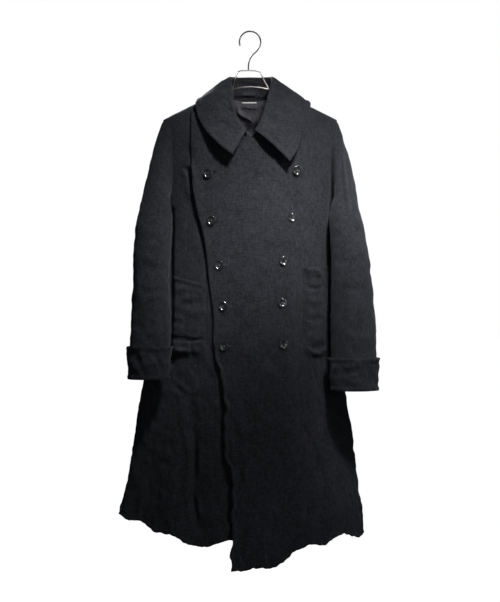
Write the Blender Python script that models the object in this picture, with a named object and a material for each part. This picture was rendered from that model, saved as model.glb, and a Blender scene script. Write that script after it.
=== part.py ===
"""Double-breasted wool overcoat, buttoned and hanging flat on a thin metal hanger.

The coat is cut from heavy felted cloth. Every sewn piece is a wall of its own: two
fronts that lap over each other, a back, two sleeves with turned-back cuffs, a wide
collar, two patch pockets, and the lining that shows inside the neck. All of the body
pieces are read from one surface, so that they follow each other at a seam's distance.

Sizes are in millimetres until a mesh is made. X runs across the coat, its front faces
-Y, Z is up, and the origin is inside the top of the hook, where it hangs.
"""
import functools
import math
from collections import namedtuple

import bmesh
import bpy
from mathutils import Vector

MM = 0.001
CLOTH = 2.8
SEAM = 0.3
UP = Vector((0, 0, 1))

# Shoulders and neck
NECK_HALF = 76
NECK_SIDE = -145
NECK_FRONT = -261
NECK_BACK = -167
SHOULDER_HALF = 211
SHOULDER_TIP = -213
SHOULDER_DROP = 95
SIDE_AT_SHOULDER = 0

# Armholes, and the number of wall rows from the shoulder down to the underarm
UNDERARM = -437
UNDERARM_HALF = 226
ARM_ROWS = 10
SKIRT_ROWS = 17

# The front lap: its upper edges, how far the two fronts lie on each other at the chest
# and below, and how far the upper one stands off the body's surface there
LAP_HALF = 139
LAP_CORNER = -194
LAP_STEP = 4
CHEST_LAP = 124
LOWER_LAP = 94
UNDERLAP_SHORT = 8
LAP_EASE = 28
LIFT = CLOTH + 1.2
SKIRT_LIFT = 2.4

# Half widths and depths of the body at each height
Section = namedtuple("Section", "z left right side_y front back")
SECTIONS = (
    Section(-100, 255, 255, 0, 55, 30),
    Section(-215, 255, 255, 0, 56, 30),
    Section(-325, 245, 245, 5, 61, 28),
    Section(-400, 233, 233, 12, 66, 27),
    Section(-437, 226, 226, 15, 68, 27),
    Section(-520, 227, 226, 19, 71, 27),
    Section(-640, 234, 226, 21, 74, 28),
    Section(-760, 249, 226, 21, 76, 29),
    Section(-850, 260, 229, 21, 78, 31),
    Section(-940, 276, 244, 21, 80, 33),
    Section(-1030, 290, 256, 21, 82, 35),
    Section(-1130, 308, 267, 21, 84, 37),
    Section(-1170, 320, 273, 21, 85, 38),
    Section(-1310, 340, 286, 21, 86, 39),
)

# The free edge of the front that laps over, from its top corner to the hem
FrontEdge = namedtuple("FrontEdge", "z x")
FRONT_EDGE = (
    FrontEdge(-150, -139),
    FrontEdge(-353, -138),
    FrontEdge(-443, -123),
    FrontEdge(-513, -105),
    FrontEdge(-612, -97),
    FrontEdge(-700, -82),
    FrontEdge(-760, -91),
    FrontEdge(-830, -66),
    FrontEdge(-880, -62),
    FrontEdge(-918, -49),
    FrontEdge(-950, -62),
    FrontEdge(-1010, -62),
    FrontEdge(-1085, -36),
    FrontEdge(-1140, -47),
    FrontEdge(-1190, -38),
    FrontEdge(-1235, -45),
    FrontEdge(-1310, -45),
)

# Height of each hem at distances across the coat
Hem = namedtuple("Hem", "x z")
HEM_UNDER = (
    Hem(-345, -1160), Hem(-319, -1169), Hem(-300, -1178), Hem(-262, -1180),
    Hem(-237, -1201), Hem(-190, -1207), Hem(-155, -1226), Hem(-104, -1239),
    Hem(-75, -1221), Hem(-40, -1217), Hem(100, -1230),
)
HEM_OVER = (
    Hem(-60, -1293), Hem(-24, -1291), Hem(20, -1281), Hem(55, -1279), Hem(97, -1257),
    Hem(143, -1229), Hem(176, -1234), Hem(214, -1213), Hem(248, -1221), Hem(268, -1221),
    Hem(290, -1200),
)
HEM_BACK = (
    Hem(-345, -1160), Hem(-319, -1169), Hem(-220, -1194), Hem(-90, -1208),
    Hem(40, -1212), Hem(180, -1206), Hem(265, -1210), Hem(290, -1200),
)

# Long soft folds: each runs between two places, and stands out where depth is positive
Fold = namedtuple("Fold", "x_top z_top x_low z_low depth width")
FRONT_FOLDS = (
    Fold(-152, -860, -112, -1250, -9, 17),
    Fold(-192, -880, -186, -1230, 6, 26),
    Fold(-225, -900, -258, -1200, -6, 20),
    Fold(-90, -900, -72, -1250, 5, 24),
    Fold(14, -1020, 30, -1290, 5, 24),
    Fold(78, -960, 92, -1280, -6, 22),
    Fold(120, -900, 142, -1240, 6, 22),
    Fold(160, -900, 186, -1240, -7, 18),
    Fold(196, -920, 226, -1225, 5, 18),
)
BACK_FOLDS = (
    Fold(-165, -620, -215, -1200, -9, 26),
    Fold(-90, -700, -120, -1210, 8, 34),
    Fold(-20, -640, -34, -1215, -8, 26),
    Fold(60, -700, 66, -1215, 8, 32),
    Fold(130, -640, 170, -1208, -9, 26),
)

# Each sleeve at heights below the underarm: its two sides, its middle and half its depth
Sleeve = namedtuple("Sleeve", "z outer inner middle_y half_depth")
SLEEVE_RIGHT = (
    Sleeve(-455, -272, -182, -39, 34),
    Sleeve(-520, -277, -186, -44, 38),
    Sleeve(-600, -280, -191, -48, 38),
    Sleeve(-690, -284, -185, -52, 38),
    Sleeve(-760, -286, -188, -58, 38),
    Sleeve(-835, -285, -194, -61, 38),
)
SLEEVE_LEFT = (
    Sleeve(-455, 270, 186, -39, 34),
    Sleeve(-520, 281, 192, -42, 38),
    Sleeve(-600, 291, 191, -46, 39),
    Sleeve(-690, 299, 189, -50, 40),
    Sleeve(-780, 303, 189, -56, 40),
    Sleeve(-862, 299, 194, -58, 40),
)
FAN_ROWS = 6
SLEEVE_ROWS = 9
CUFF_HEIGHT = 76
CUFF_ROWS = 3
CUFF_WALL = 4.0
CUFF_STANDS_OFF = 3.0

# The collar round the neck, from one front end to the other: the turn of its seam round
# the neckline in degrees, its roll and its outer edge, how round the roll is, and how
# far the fall bellies out
Collar = namedtuple("Collar", "turn roll edge radius belly")
COLLAR = (
    Collar(3, (-7, -68, -248), (-41, -81, -304), 5, 2),
    Collar(17, (-14, -67, -235), (-68, -77, -284), 5, 3),
    Collar(32, (-24, -61, -211), (-95, -67, -259), 5, 4),
    Collar(49, (-34, -48, -178), (-116, -57, -228), 6, 7),
    Collar(67, (-42, -29, -145), (-129, -42, -195), 6, 11),
    Collar(90, (-47, -2, -113), (-130, -4, -164), 6, 3),
    Collar(125, (-42, 21, -107), (-118, 26, -184), 6, 5),
    Collar(155, (-25, 33, -105), (-66, 40, -199), 6, 4),
    Collar(180, (3, 37, -105), (2, 42, -204), 6, 3),
    Collar(205, (29, 33, -105), (70, 40, -200), 6, 4),
    Collar(235, (47, 21, -107), (126, 26, -187), 6, 5),
    Collar(270, (53, -2, -113), (143, -4, -170), 6, 3),
    Collar(293, (47, -31, -147), (141, -43, -196), 6, 14),
    Collar(311, (38, -54, -181), (133, -55, -229), 6, 10),
    Collar(328, (29, -65, -212), (123, -62, -263), 5, 7),
    Collar(343, (19, -70, -236), (112, -68, -294), 5, 4),
    Collar(356, (11, -72, -248), (95, -72, -321), 5, 3),
)
Stop = namedtuple("Stop", "turn at")
COLLAR_WALL = 3.6
COLLAR_ROWS = 10
NECK_CENTRE = Vector((0, 2, -150))
NECK_GAP = 0.6

LINING_WALL = 1.0
LINING_LOW = -330
LABEL_WALL = 0.8
LABEL_LEFT, LABEL_RIGHT = -20, 16
LABEL_TOP, LABEL_LOW = -171, -189
LOOP_WALL = 1.4

# Patch pockets: the edge toward the coat's middle, the edge toward its side seam
Pocket = namedtuple("Pocket", "name middle_x side_x middle_top side_top bottom")
POCKETS = (
    Pocket("pocket_right", -100, -212, -613, -583, -784),
    Pocket("pocket_left", 128, 210, -572, -564, -786),
)
POCKET_COLUMNS = 8
POCKET_ROWS = 7
POCKET_PUFF = 2.5
POCKET_GAP = 0.7

# Five pairs of buttons down the lap, as the places of their middles
Pair = namedtuple("Pair", "outer_x outer_z inner_x inner_z")
BUTTON_PAIRS = (
    Pair(-99.5, -347, 111, -340),
    Pair(-90.5, -459, 100, -451),
    Pair(-72, -566, 79.5, -555),
    Pair(-63, -664, 76.5, -656),
    Pair(-61, -759, 79, -754),
)
BUTTON_STEPS = 12
BUTTON_GAP = 0.8
# Half of a button's section, from its rim's middle at the back to its dished face
Turned = namedtuple("Turned", "out high")
BUTTON_PROFILE = (
    Turned(0, 0), Turned(9.4, 0), Turned(11, 1.8), Turned(10.2, 3.8),
    Turned(8.4, 3.8), Turned(7.2, 2.6), Turned(0, 2.6),
)

# Hanger
HOOK_WIRE = 1.9
HOOK_INNER = 24.0
STEM_TOP = -64
STEM_FOOT = -91.6
FRAME_WIRE = 1.4
ARM_WIRE = 1.8
ARM_END = 188

WOOL = (0.030, 0.031, 0.034)
WOOL_INSIDE = (0.026, 0.027, 0.030)
SATIN = (0.075, 0.077, 0.085)
HORN = (0.012, 0.012, 0.014)
STEEL = (0.52, 0.48, 0.44)


def smooth_step(low, high, value):
    """0 at low, 1 at high, and an S curve between them."""
    part = min(1.0, max(0.0, (value - low) / (high - low)))
    return part * part * (3 - 2 * part)


def read_rows(rows, key, column):
    """A smooth curve through one column of a table, read at a value of its first one."""
    keys = [row[0] for row in rows]
    values = [getattr(row, column) for row in rows]
    if keys[0] > keys[-1]:
        keys.reverse()
        values.reverse()
    if key <= keys[0]:
        return values[0]
    if key >= keys[-1]:
        return values[-1]
    at = max(i for i in range(len(keys) - 1) if keys[i] <= key)

    def slope(i):
        first, last = max(0, i - 1), min(len(keys) - 1, i + 1)
        return (values[last] - values[first]) / (keys[last] - keys[first])

    span = keys[at + 1] - keys[at]
    part = (key - keys[at]) / span
    start, end = values[at], values[at + 1]
    turn = 3 * part ** 2 - 2 * part ** 3
    leave = (part ** 3 - 2 * part ** 2 + part) * span * slope(at)
    arrive = (part ** 3 - part ** 2) * span * slope(at + 1)
    return start + (end - start) * turn + leave + arrive


def curve_through(points, part):
    """A point on a smooth curve through the points, at part 0 to 1 of the way."""
    reach = part * (len(points) - 1)
    at = min(int(reach), len(points) - 2)
    t = reach - at
    a = points[max(at - 1, 0)]
    b, c = points[at], points[at + 1]
    d = points[min(at + 2, len(points) - 1)]
    return (b * 2 + (c - a) * t + (a * 2 - b * 5 + c * 4 - d) * t * t
            + (b * 3 - a - c * 3 + d) * t ** 3) * 0.5


def spread(stops, counts):
    """Column places that hit each stop, with the given number of columns between."""
    places = [stops[0]]
    for low, high, count in zip(stops, stops[1:], counts):
        places += [low + (high - low) * (i + 1) / count for i in range(count)]
    return places


# The body's surface

def shoulder_line(x):
    """Height of the shoulder's ridge, carried on at its slope across the neck."""
    slope = (SHOULDER_TIP - NECK_SIDE) / (SHOULDER_HALF - NECK_HALF)
    return NECK_SIDE + slope * (abs(x) - NECK_HALF)


def top_line(x, front_centre):
    """Height of a panel's upper edge: the shoulder, and the neckline between them."""
    if abs(x) >= NECK_HALF:
        return shoulder_line(x)
    return NECK_SIDE + (front_centre - NECK_SIDE) * math.cos(math.pi / 2 * x / NECK_HALF)


def lap_line(x):
    """Height of the upper edge of a lap, past the coat's middle line."""
    step = LAP_STEP * smooth_step(0, 8, abs(x))
    return NECK_FRONT - step + (LAP_CORNER - NECK_FRONT) * (abs(x) / LAP_HALF) ** 1.3


def lap_reach(z):
    """How far past the middle line the two fronts lie on each other."""
    return CHEST_LAP + (LOWER_LAP - CHEST_LAP) * smooth_step(440, 560, -z)


def top_over(x):
    return top_line(x, NECK_FRONT) if x > 0 else lap_line(x)


def top_under(x):
    return top_line(x, NECK_FRONT) if x < 0 else lap_line(x)


def top_back(x):
    return top_line(x, NECK_BACK)


def half_width(z, side):
    return read_rows(SECTIONS, z, "right" if side > 0 else "left")


def fold_depth(folds, x, z):
    """How far the folds move the cloth out at one place."""
    out = 0.0
    for fold in folds:
        along = (fold.z_top - z) / (fold.z_top - fold.z_low)
        if along > 0:
            middle = fold.x_top + (fold.x_low - fold.x_top) * along
            grow = smooth_step(0, 0.7, along)
            out += fold.depth * grow * math.exp(-((x - middle) / fold.width) ** 2)
    return out


def body_point(face, angle, z):
    """A point on the coat's outside, at an angle round from the middle of a face."""
    x = half_width(z, angle) * math.sin(angle)
    side_y = read_rows(SECTIONS, z, "side_y")
    below = min(1.0, max(0.0, (shoulder_line(x) - z) / SHOULDER_DROP))
    roll = math.sqrt(1 - (1 - below) ** 2)
    facing = max(0.0, math.cos(angle))
    if face == "front":
        depth = read_rows(SECTIONS, z, "front") * roll * facing ** 1.5
        return Vector((x, side_y - depth - facing * fold_depth(FRONT_FOLDS, x, z), z))
    depth = read_rows(SECTIONS, z, "back") * roll * facing ** 0.8
    return Vector((x, side_y + depth + facing * fold_depth(BACK_FOLDS, x, z), z))


def angle_at(x, z):
    return math.asin(max(-1.0, min(1.0, x / half_width(z, x))))


def armhole(side, row):
    """The armhole's X and Z at a wall row, from the shoulder's tip to the underarm."""
    turn = math.cos(math.pi * row / ARM_ROWS)
    middle = (SHOULDER_TIP + UNDERARM) / 2
    z = middle + (SHOULDER_TIP - middle) * turn
    inner = 186 if side < 0 else 198
    end = SHOULDER_HALF if turn > 0 else UNDERARM_HALF
    return side * (inner + (end - inner) * abs(turn) ** 6), z


def side_angle(side, row):
    """The angle of a panel's outer edge: along the armhole, then the side seam."""
    if row >= ARM_ROWS:
        return side * math.pi / 2
    x, z = armhole(side, row)
    return angle_at(x, z)


# One entry for each body panel: its face, its two edges, and its upper and lower lines
Panel = namedtuple("Panel", "face start end top hem")


def edge_angle(edge, row, z):
    """The angle of a panel's edge, given as a side (-1 or 1) or as a line of Xs."""
    if edge in (-1, 1):
        return side_angle(edge, row)
    return angle_at(edge(z), z)


OVER = Panel("front", 1, lambda z: read_rows(FRONT_EDGE, z, "x"), top_over,
             lambda x: read_rows(HEM_OVER, x, "z"))
UNDER = Panel("front", -1, lambda z: lap_reach(z) - UNDERLAP_SHORT, top_under,
              lambda x: read_rows(HEM_UNDER, x, "z"))
BACK = Panel("back", -1, 1, top_back, lambda x: read_rows(HEM_BACK, x, "z"))


def across(panel, part, row, z):
    """The angle at part 0 to 1 of the way from a panel's first edge to its second."""
    start = edge_angle(panel.start, row, z)
    return start + (edge_angle(panel.end, row, z) - start) * part


@functools.cache
def end_height(panel, part, row, line):
    """Where a column of the panel meets its upper or lower line."""
    z = line(0)
    for _ in range(14):
        x = half_width(z, across(panel, part, row, z)) * math.sin(across(panel, part, row, z))
        z = line(x)
    return z


def panel_angle(panel, part, row):
    """The angle and the height of one place of a panel, by column part and wall row."""
    if row <= ARM_ROWS:
        top = end_height(panel, part, row, panel.top)
        z = top + (UNDERARM - top) * (1 - math.cos(math.pi * row / ARM_ROWS)) / 2
    else:
        low = end_height(panel, part, ARM_ROWS, panel.hem)
        z = UNDERARM + (low - UNDERARM) * (row - ARM_ROWS) / SKIRT_ROWS
    return across(panel, part, row, z), z


@functools.cache
def panel_place(panel, part, row):
    angle, z = panel_angle(panel, part, row)
    return body_point(panel.face, angle, z).freeze()


def panel_point(panel, part, row):
    return panel_place(panel, part, row).copy()


def panel_normal(panel, part, row):
    """The way out of the cloth at one place of a panel."""
    if row >= ARM_ROWS and part in (0, 1) and (panel.start, panel.end)[int(part)] in (-1, 1):
        return Vector(((panel.start, panel.end)[int(part)], 0, 0))
    x = panel_place(panel, part, row).x
    if row == 0 and abs(x) > NECK_HALF - 1:
        slope = (NECK_SIDE - SHOULDER_TIP) / (SHOULDER_HALF - NECK_HALF)
        return Vector((math.copysign(slope, x), 0, 1)).normalized()
    step = 0.02
    rows = ARM_ROWS + SKIRT_ROWS
    left = panel_point(panel, max(0, part - step), row)
    right = panel_point(panel, min(1, part + step), row)
    above = panel_point(panel, part, max(0, row - step))
    below = panel_point(panel, part, min(rows, row + step))
    normal = (right - left).cross(below - above).normalized()
    outward = Vector((0, -1 if panel.face == "front" else 1, 0)) + UP * 0.2
    return normal if normal.dot(outward) > 0 else -normal


def surface_normal(face, x, z):
    """The way out of the cloth at a place of the body that is away from its edges."""
    step = 2.0
    left = body_point(face, angle_at(x - step, z), z)
    right = body_point(face, angle_at(x + step, z), z)
    above = body_point(face, angle_at(x, z + step), z + step)
    below = body_point(face, angle_at(x, z - step), z - step)
    normal = (right - left).cross(above - below).normalized()
    outward = -1 if face == "front" else 1
    return normal if normal.y * outward > 0 else -normal


def lift_at(x, z):
    """How far the front that laps over stands off the body's surface."""
    reach = lap_reach(z)
    lift = LIFT + SKIRT_LIFT * smooth_step(820, 960, -z)
    return lift * (1 - smooth_step(reach, reach + LAP_EASE, x))


# Making solids

def new_collection(name):
    collection = bpy.data.collections.new(name)
    bpy.context.scene.collection.children.link(collection)
    return collection


def finish(name, mesh, color, roughness, metallic=0.0):
    """Give a mesh or a curve its object and its own material."""
    material = bpy.data.materials.new(name)
    material.use_nodes = True
    shader = material.node_tree.nodes["Principled BSDF"]
    shader.inputs["Base Color"].default_value = (*color, 1)
    shader.inputs["Roughness"].default_value = roughness
    shader.inputs["Metallic"].default_value = metallic
    piece = bpy.data.objects.new(name, mesh)
    mesh.materials.append(material)
    COAT.objects.link(piece)
    return piece


def cloth(name, columns, rows, outer, inner, tube=False, color=WOOL, roughness=0.95):
    """A wall of cloth: a grid laid on its outer points, drawn in to its inner points."""
    bm = bmesh.new()
    bmesh.ops.create_grid(bm, x_segments=columns, y_segments=rows, size=1)
    number = bm.verts.layers.int.new("number")
    bm.verts.ensure_lookup_table()
    for index, vert in enumerate(bm.verts):
        vert[number] = index
        vert.co = outer(index % (columns + 1), index // (columns + 1)) * MM
    if tube:
        bmesh.ops.remove_doubles(bm, verts=bm.verts[:], dist=1e-6)
    wall = bmesh.ops.extrude_face_region(bm, geom=bm.faces[:], use_keep_orig=True)
    for item in wall["geom"]:
        if isinstance(item, bmesh.types.BMVert):
            index = item[number]
            item.co = inner(index % (columns + 1), index // (columns + 1)) * MM
    bmesh.ops.triangulate(bm, faces=bm.faces[:])
    bmesh.ops.recalc_face_normals(bm, faces=bm.faces[:])
    mesh = bpy.data.meshes.new(name)
    bm.to_mesh(mesh)
    bm.free()
    mesh.shade_smooth()
    mesh.set_sharp_from_angle(angle=math.radians(50))
    return finish(name, mesh, color, roughness)


def wire(name, points, radius, cyclic=False):
    """A bent wire through the points."""
    curve = bpy.data.curves.new(name, "CURVE")
    curve.dimensions = "3D"
    curve.bevel_depth = radius * MM
    curve.bevel_resolution = 2
    curve.use_fill_caps = not cyclic
    spline = curve.splines.new("POLY")
    spline.points.add(len(points) - 1)
    for knot, place in zip(spline.points, points):
        knot.co = (*(place * MM), 1)
    spline.use_cyclic_u = cyclic
    return finish(name, curve, STEEL, 0.3, 1.0)


# Fronts and back

def panel_wall(panel, part, row):
    """The outer and the inner face of a panel at one place, lifted where it laps over."""
    point = panel_point(panel, part, row)
    normal = panel_normal(panel, part, row)
    if panel is OVER:
        point += normal * lift_at(point.x, point.z)
    point.y += SEAM / 2 if panel.face == "back" else -SEAM / 2
    return point, point - normal * CLOTH


def body_panel(name, panel, columns):
    cloth(name, len(columns) - 1, ARM_ROWS + SKIRT_ROWS,
          lambda i, j: panel_wall(panel, columns[i], j)[0],
          lambda i, j: panel_wall(panel, columns[i], j)[1])


def panel_columns(panel, stops_x, counts):
    """Columns that meet the neck's corner and the middle line, as well as the edges."""
    first = edge_angle(panel.start, 0, SHOULDER_TIP)
    last = edge_angle(panel.end, 0, NECK_SIDE)
    stops = [(angle_at(x, NECK_SIDE) - first) / (last - first) for x in stops_x]
    return spread([0, *stops, 1], counts)


UNDER_COLUMNS = panel_columns(UNDER, (-NECK_HALF, 0), (8, 7, 6))
OVER_COLUMNS = panel_columns(OVER, (NECK_HALF, 0), (8, 7, 8))
BACK_COLUMNS = panel_columns(BACK, (-NECK_HALF, 0, NECK_HALF), (7, 5, 5, 7))


def make_body():
    body_panel("front_right", UNDER, UNDER_COLUMNS)
    body_panel("front_left", OVER, OVER_COLUMNS)
    body_panel("back", BACK, BACK_COLUMNS)


# Sleeves and cuffs

def armhole_place(side, turn):
    """The body's outer point and way out at the armhole, turn 0 (tip) to 2 (and back)."""
    row = (turn if turn <= 1 else 2 - turn) * ARM_ROWS
    if side > 0:
        panel = OVER if turn <= 1 else BACK
        part = 0 if turn <= 1 else 1
    else:
        panel = UNDER if turn <= 1 else BACK
        part = 0
    return panel_point(panel, part, row), panel_normal(panel, part, row)


def sleeve_oval(rows, turn, z):
    """A point round the sleeve at a height; the front lies between its two sides."""
    outer, inner = read_rows(rows, z, "outer"), read_rows(rows, z, "inner")
    middle_y, depth = read_rows(rows, z, "middle_y"), read_rows(rows, z, "half_depth")
    around = math.pi * turn
    around += math.pi / 2 * math.sin(around / 2) ** 2
    x = (outer + inner) / 2 + (outer - inner) / 2 * math.cos(around)
    return Vector((x, middle_y - depth * math.sin(around), z))


def sleeve_point(side, rows, turn, row):
    """A point on the sleeve: it fans out from the armhole, and then hangs down."""
    if row >= FAN_ROWS:
        part = (row - FAN_ROWS) / SLEEVE_ROWS
        return sleeve_oval(rows, turn, rows[0].z + (rows[-1].z - rows[0].z) * part)
    part = row / FAN_ROWS
    start = armhole_place(side, turn)[0]
    into = Vector((side * 330 - start.x, 0, -325 - start.z)).normalized()
    belly = Vector((side * 3, -6 if turn < 1 else 3, 3)) + into * 9
    belly *= math.sin(math.pi * part) * (1 - part)
    return (start + into * 0.5).lerp(sleeve_oval(rows, turn, rows[0].z), part) + belly


def sleeve_normal(side, rows, turn, row):
    """The way out of the sleeve's cloth."""
    step = 0.05
    last = FAN_ROWS + SLEEVE_ROWS
    before = sleeve_point(side, rows, (turn - step) % 2, row)
    after = sleeve_point(side, rows, (turn + step) % 2, row)
    above = sleeve_point(side, rows, turn, max(0, row - step))
    below = sleeve_point(side, rows, turn, min(last, row + step))
    normal = (after - before).cross(below - above).normalized()
    return normal * side


def make_sleeve(name, side, rows):
    turns = 2 * ARM_ROWS

    def outer(i, j):
        return sleeve_point(side, rows, 2 * (i % turns) / turns, j)

    def inner(i, j):
        turn = 2 * (i % turns) / turns
        if j == 0:
            return outer(i, j) - armhole_place(side, turn)[1] * CLOTH
        return outer(i, j) - sleeve_normal(side, rows, turn, j) * CLOTH

    cloth(name, turns, FAN_ROWS + SLEEVE_ROWS, outer, inner, tube=True)


def make_cuff(name, side, rows):
    """A turned-back cuff: a tube round the sleeve's end that stands off at its top."""
    turns = 2 * ARM_ROWS
    last = FAN_ROWS + SLEEVE_ROWS
    span = (rows[0].z - rows[-1].z) / SLEEVE_ROWS

    def place(i, j, off):
        turn = 2 * (i % turns) / turns
        up = j / CUFF_ROWS
        row = last - up * CUFF_HEIGHT / span
        gap = SEAM + 0.1 + CUFF_STANDS_OFF * up
        return (sleeve_point(side, rows, turn, row) - UP * (1 - up)
                + sleeve_normal(side, rows, turn, row) * (gap + off))

    cloth(name, turns, CUFF_ROWS,
          lambda i, j: place(i, j, CUFF_WALL), lambda i, j: place(i, j, 0), tube=True)


# Collar, lining, label and hanging loop

Knot = namedtuple("Knot", "turn inner outer")


@functools.cache
def neck_line():
    """The panels' corners round the neck, set in from them by the seam's gap."""
    run = [(UNDER, part) for part in reversed(UNDER_COLUMNS[8:16])]
    run += [(BACK, part) for part in BACK_COLUMNS[8:17]]
    run += [(OVER, part) for part in OVER_COLUMNS[8:16]]
    walls = [panel_wall(panel, part, 0) for panel, part in run]
    knots = []
    for at, (panel, part) in enumerate(run):
        swing = math.degrees(math.asin(min(1, max(-1, -panel_point(panel, part, 0).x / NECK_HALF))))
        turn = {UNDER: swing, BACK: 180 - swing, OVER: 360 + swing}[panel]
        outer, inner = walls[at]
        along = walls[min(at + 1, len(run) - 1)][0] - walls[max(at - 1, 0)][0]
        inward = along.cross(outer - inner).normalized() * NECK_GAP
        inward *= 1 if inward.dot(NECK_CENTRE - outer) > 0 else -1
        knots.append(Knot(turn, inner + inward, outer + inward))
    return knots


def neck_seam(turn):
    """Where the collar's seam lies at a turn round the neck: its inner and outer corner."""
    knots = neck_line()
    at = max(i for i in range(len(knots) - 1) if i == 0 or knots[i].turn <= turn)
    low, high = knots[at], knots[at + 1]
    part = (turn - low.turn) / (high.turn - low.turn)
    return low.inner.lerp(high.inner, part), low.outer.lerp(high.outer, part)


@functools.cache
def collar_knots(turn):
    """One section's visible side, from the neck seam up to the roll and over to the edge."""
    at = read_rows([Stop(place.turn, i) for i, place in enumerate(COLLAR)], turn, "at")
    along = at / (len(COLLAR) - 1)
    roll = curve_through([Vector(place.roll) for place in COLLAR], along)
    edge = curve_through([Vector(place.edge) for place in COLLAR], along)
    radius, depth, _ = curve_through([Vector((place.radius, place.belly, 0)) for place in COLLAR],
                                     along)
    base = neck_seam(turn)[0]
    rise = (roll - (base + edge) / 2).normalized()
    out = edge - base
    out = (out - rise * out.dot(rise)).normalized()
    inside = roll - rise * radius - out * radius
    outside = roll - rise * radius + out * radius
    middle = outside.lerp(edge, 0.5)
    belly = out.cross(edge - roll).cross(edge - roll).normalized()
    outward = Vector((0, -math.cos(math.radians(turn)), 0.7))
    belly = belly if belly.dot(outward) > 0 else -belly
    return [base, inside, roll, outside, middle + belly * depth, edge]


def collar_point(turn, over):
    """A point on the collar's visible side: round the neck, and over the roll."""
    return curve_through(collar_knots(turn), over)


def collar_normal(turn, over):
    left = collar_point(max(COLLAR[0].turn, turn - 2), over)
    right = collar_point(min(COLLAR[-1].turn, turn + 2), over)
    low = collar_point(turn, max(0, over - 0.01))
    high = collar_point(turn, min(1, over + 0.01))
    return (right - left).cross(high - low).normalized()


def make_collar():
    """Two columns of the collar to each short column of the panels, and four to a long one."""
    sewn = [knot.turn for knot in neck_line() if COLLAR[0].turn + 3 < knot.turn < COLLAR[-1].turn - 3]
    sewn = [COLLAR[0].turn, *sewn, COLLAR[-1].turn]
    turns = spread(sewn, [4 if high - low > 20 else 2 for low, high in zip(sewn, sewn[1:])])

    def visible(i, j):
        return collar_point(turns[i], j / COLLAR_ROWS)

    def hidden(i, j):
        if j == 0:
            return neck_seam(turns[i])[1]
        wall = min(COLLAR_WALL, CLOTH + 0.4 * j)
        return visible(i, j) - collar_normal(turns[i], j / COLLAR_ROWS) * wall

    cloth("collar", len(turns) - 1, COLLAR_ROWS, visible, hidden)


def inside_back(x, z, depth):
    """A place on the inside of the back, a given depth in from its outer face."""
    point = body_point("back", angle_at(x, z), z)
    return point - surface_normal("back", x, z) * depth


def make_neck():
    """The lining's yoke that shows in the neck, the blank label and the hanging loop."""
    columns, rows = 8, 5

    def lining(i, j, depth):
        x = -60 + 120 * i / columns
        top = top_back(x) - 1
        z = top + (LINING_LOW - top) * j / rows
        return inside_back(x, z, depth)

    near = CLOTH + SEAM * 1.5
    cloth("neck_lining", columns, rows, lambda i, j: lining(i, j, near),
          lambda i, j: lining(i, j, near + LINING_WALL), color=SATIN, roughness=0.45)

    def label(i, j, depth):
        x = LABEL_LEFT + (LABEL_RIGHT - LABEL_LEFT) * i / 4
        return inside_back(x, LABEL_TOP + (LABEL_LOW - LABEL_TOP) * j / 2, depth)

    face = near + LINING_WALL + SEAM * 2
    cloth("neck_label", 4, 2, lambda i, j: label(i, j, face),
          lambda i, j: label(i, j, face + LABEL_WALL), color=SATIN, roughness=0.5)

    def loop(i, j, off):
        turn = 168 + 20 * i / 6
        over = 0.06 + 0.035 * j
        return collar_point(turn, over) + collar_normal(turn, over) * off

    cloth("hanging_loop", 6, 1, lambda i, j: loop(i, j, SEAM * 1.5 + LOOP_WALL),
          lambda i, j: loop(i, j, SEAM * 1.5), color=WOOL_INSIDE, roughness=0.7)


# Pockets and buttons

def on_front(x, z, off):
    """A place in front of the visible front panel, off its face."""
    point = body_point("front", angle_at(x, z), z)
    lift = lift_at(x, z) if x > read_rows(FRONT_EDGE, z, "x") else 0
    return point + surface_normal("front", x, z) * (lift + off)


def make_pocket(pocket):
    def place(i, j, off):
        across_part, down = i / POCKET_COLUMNS, j / POCKET_ROWS
        x = pocket.middle_x + (pocket.side_x - pocket.middle_x) * across_part
        top = pocket.middle_top + (pocket.side_top - pocket.middle_top) * across_part
        sag = 10 * math.sin(math.pi * across_part) - 8
        z = top + (pocket.bottom - sag - top) * down
        puff = POCKET_PUFF * math.sin(math.pi * across_part) * math.sin(math.pi * down)
        return on_front(x, z, POCKET_GAP + off + puff)

    cloth(pocket.name, POCKET_COLUMNS, POCKET_ROWS,
          lambda i, j: place(i, j, CLOTH), lambda i, j: place(i, j, 0))


def make_button(name, x, z):
    """A dished horn button, turned from its profile, flat on the cloth."""
    mesh = bpy.data.meshes.new(name)
    bm = bmesh.new()
    knots = [bm.verts.new((knot.out * MM, 0, knot.high * MM)) for knot in BUTTON_PROFILE]
    for low, high in zip(knots, knots[1:]):
        bm.edges.new((low, high))
    bmesh.ops.spin(bm, geom=bm.verts[:] + bm.edges[:], axis=(0, 0, 1), cent=(0, 0, 0),
                   angle=math.tau, steps=BUTTON_STEPS, use_merge=True)
    bmesh.ops.remove_doubles(bm, verts=bm.verts[:], dist=1e-6)
    bmesh.ops.recalc_face_normals(bm, faces=bm.faces[:])
    bm.to_mesh(mesh)
    bm.free()
    mesh.shade_smooth()
    mesh.set_sharp_from_angle(angle=math.radians(40))
    button = finish(name, mesh, HORN, 0.2)
    normal = surface_normal("front", x, z)
    button.location = on_front(x, z, BUTTON_GAP) * MM
    button.rotation_mode = "QUATERNION"
    button.rotation_quaternion = normal.to_track_quat("Z", "Y")


def make_buttons():
    for number, pair in enumerate(BUTTON_PAIRS, start=1):
        make_button(f"button_{number}_outer", pair.outer_x, pair.outer_z)
        make_button(f"button_{number}_inner", pair.inner_x, pair.inner_z)


# Hanger

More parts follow.
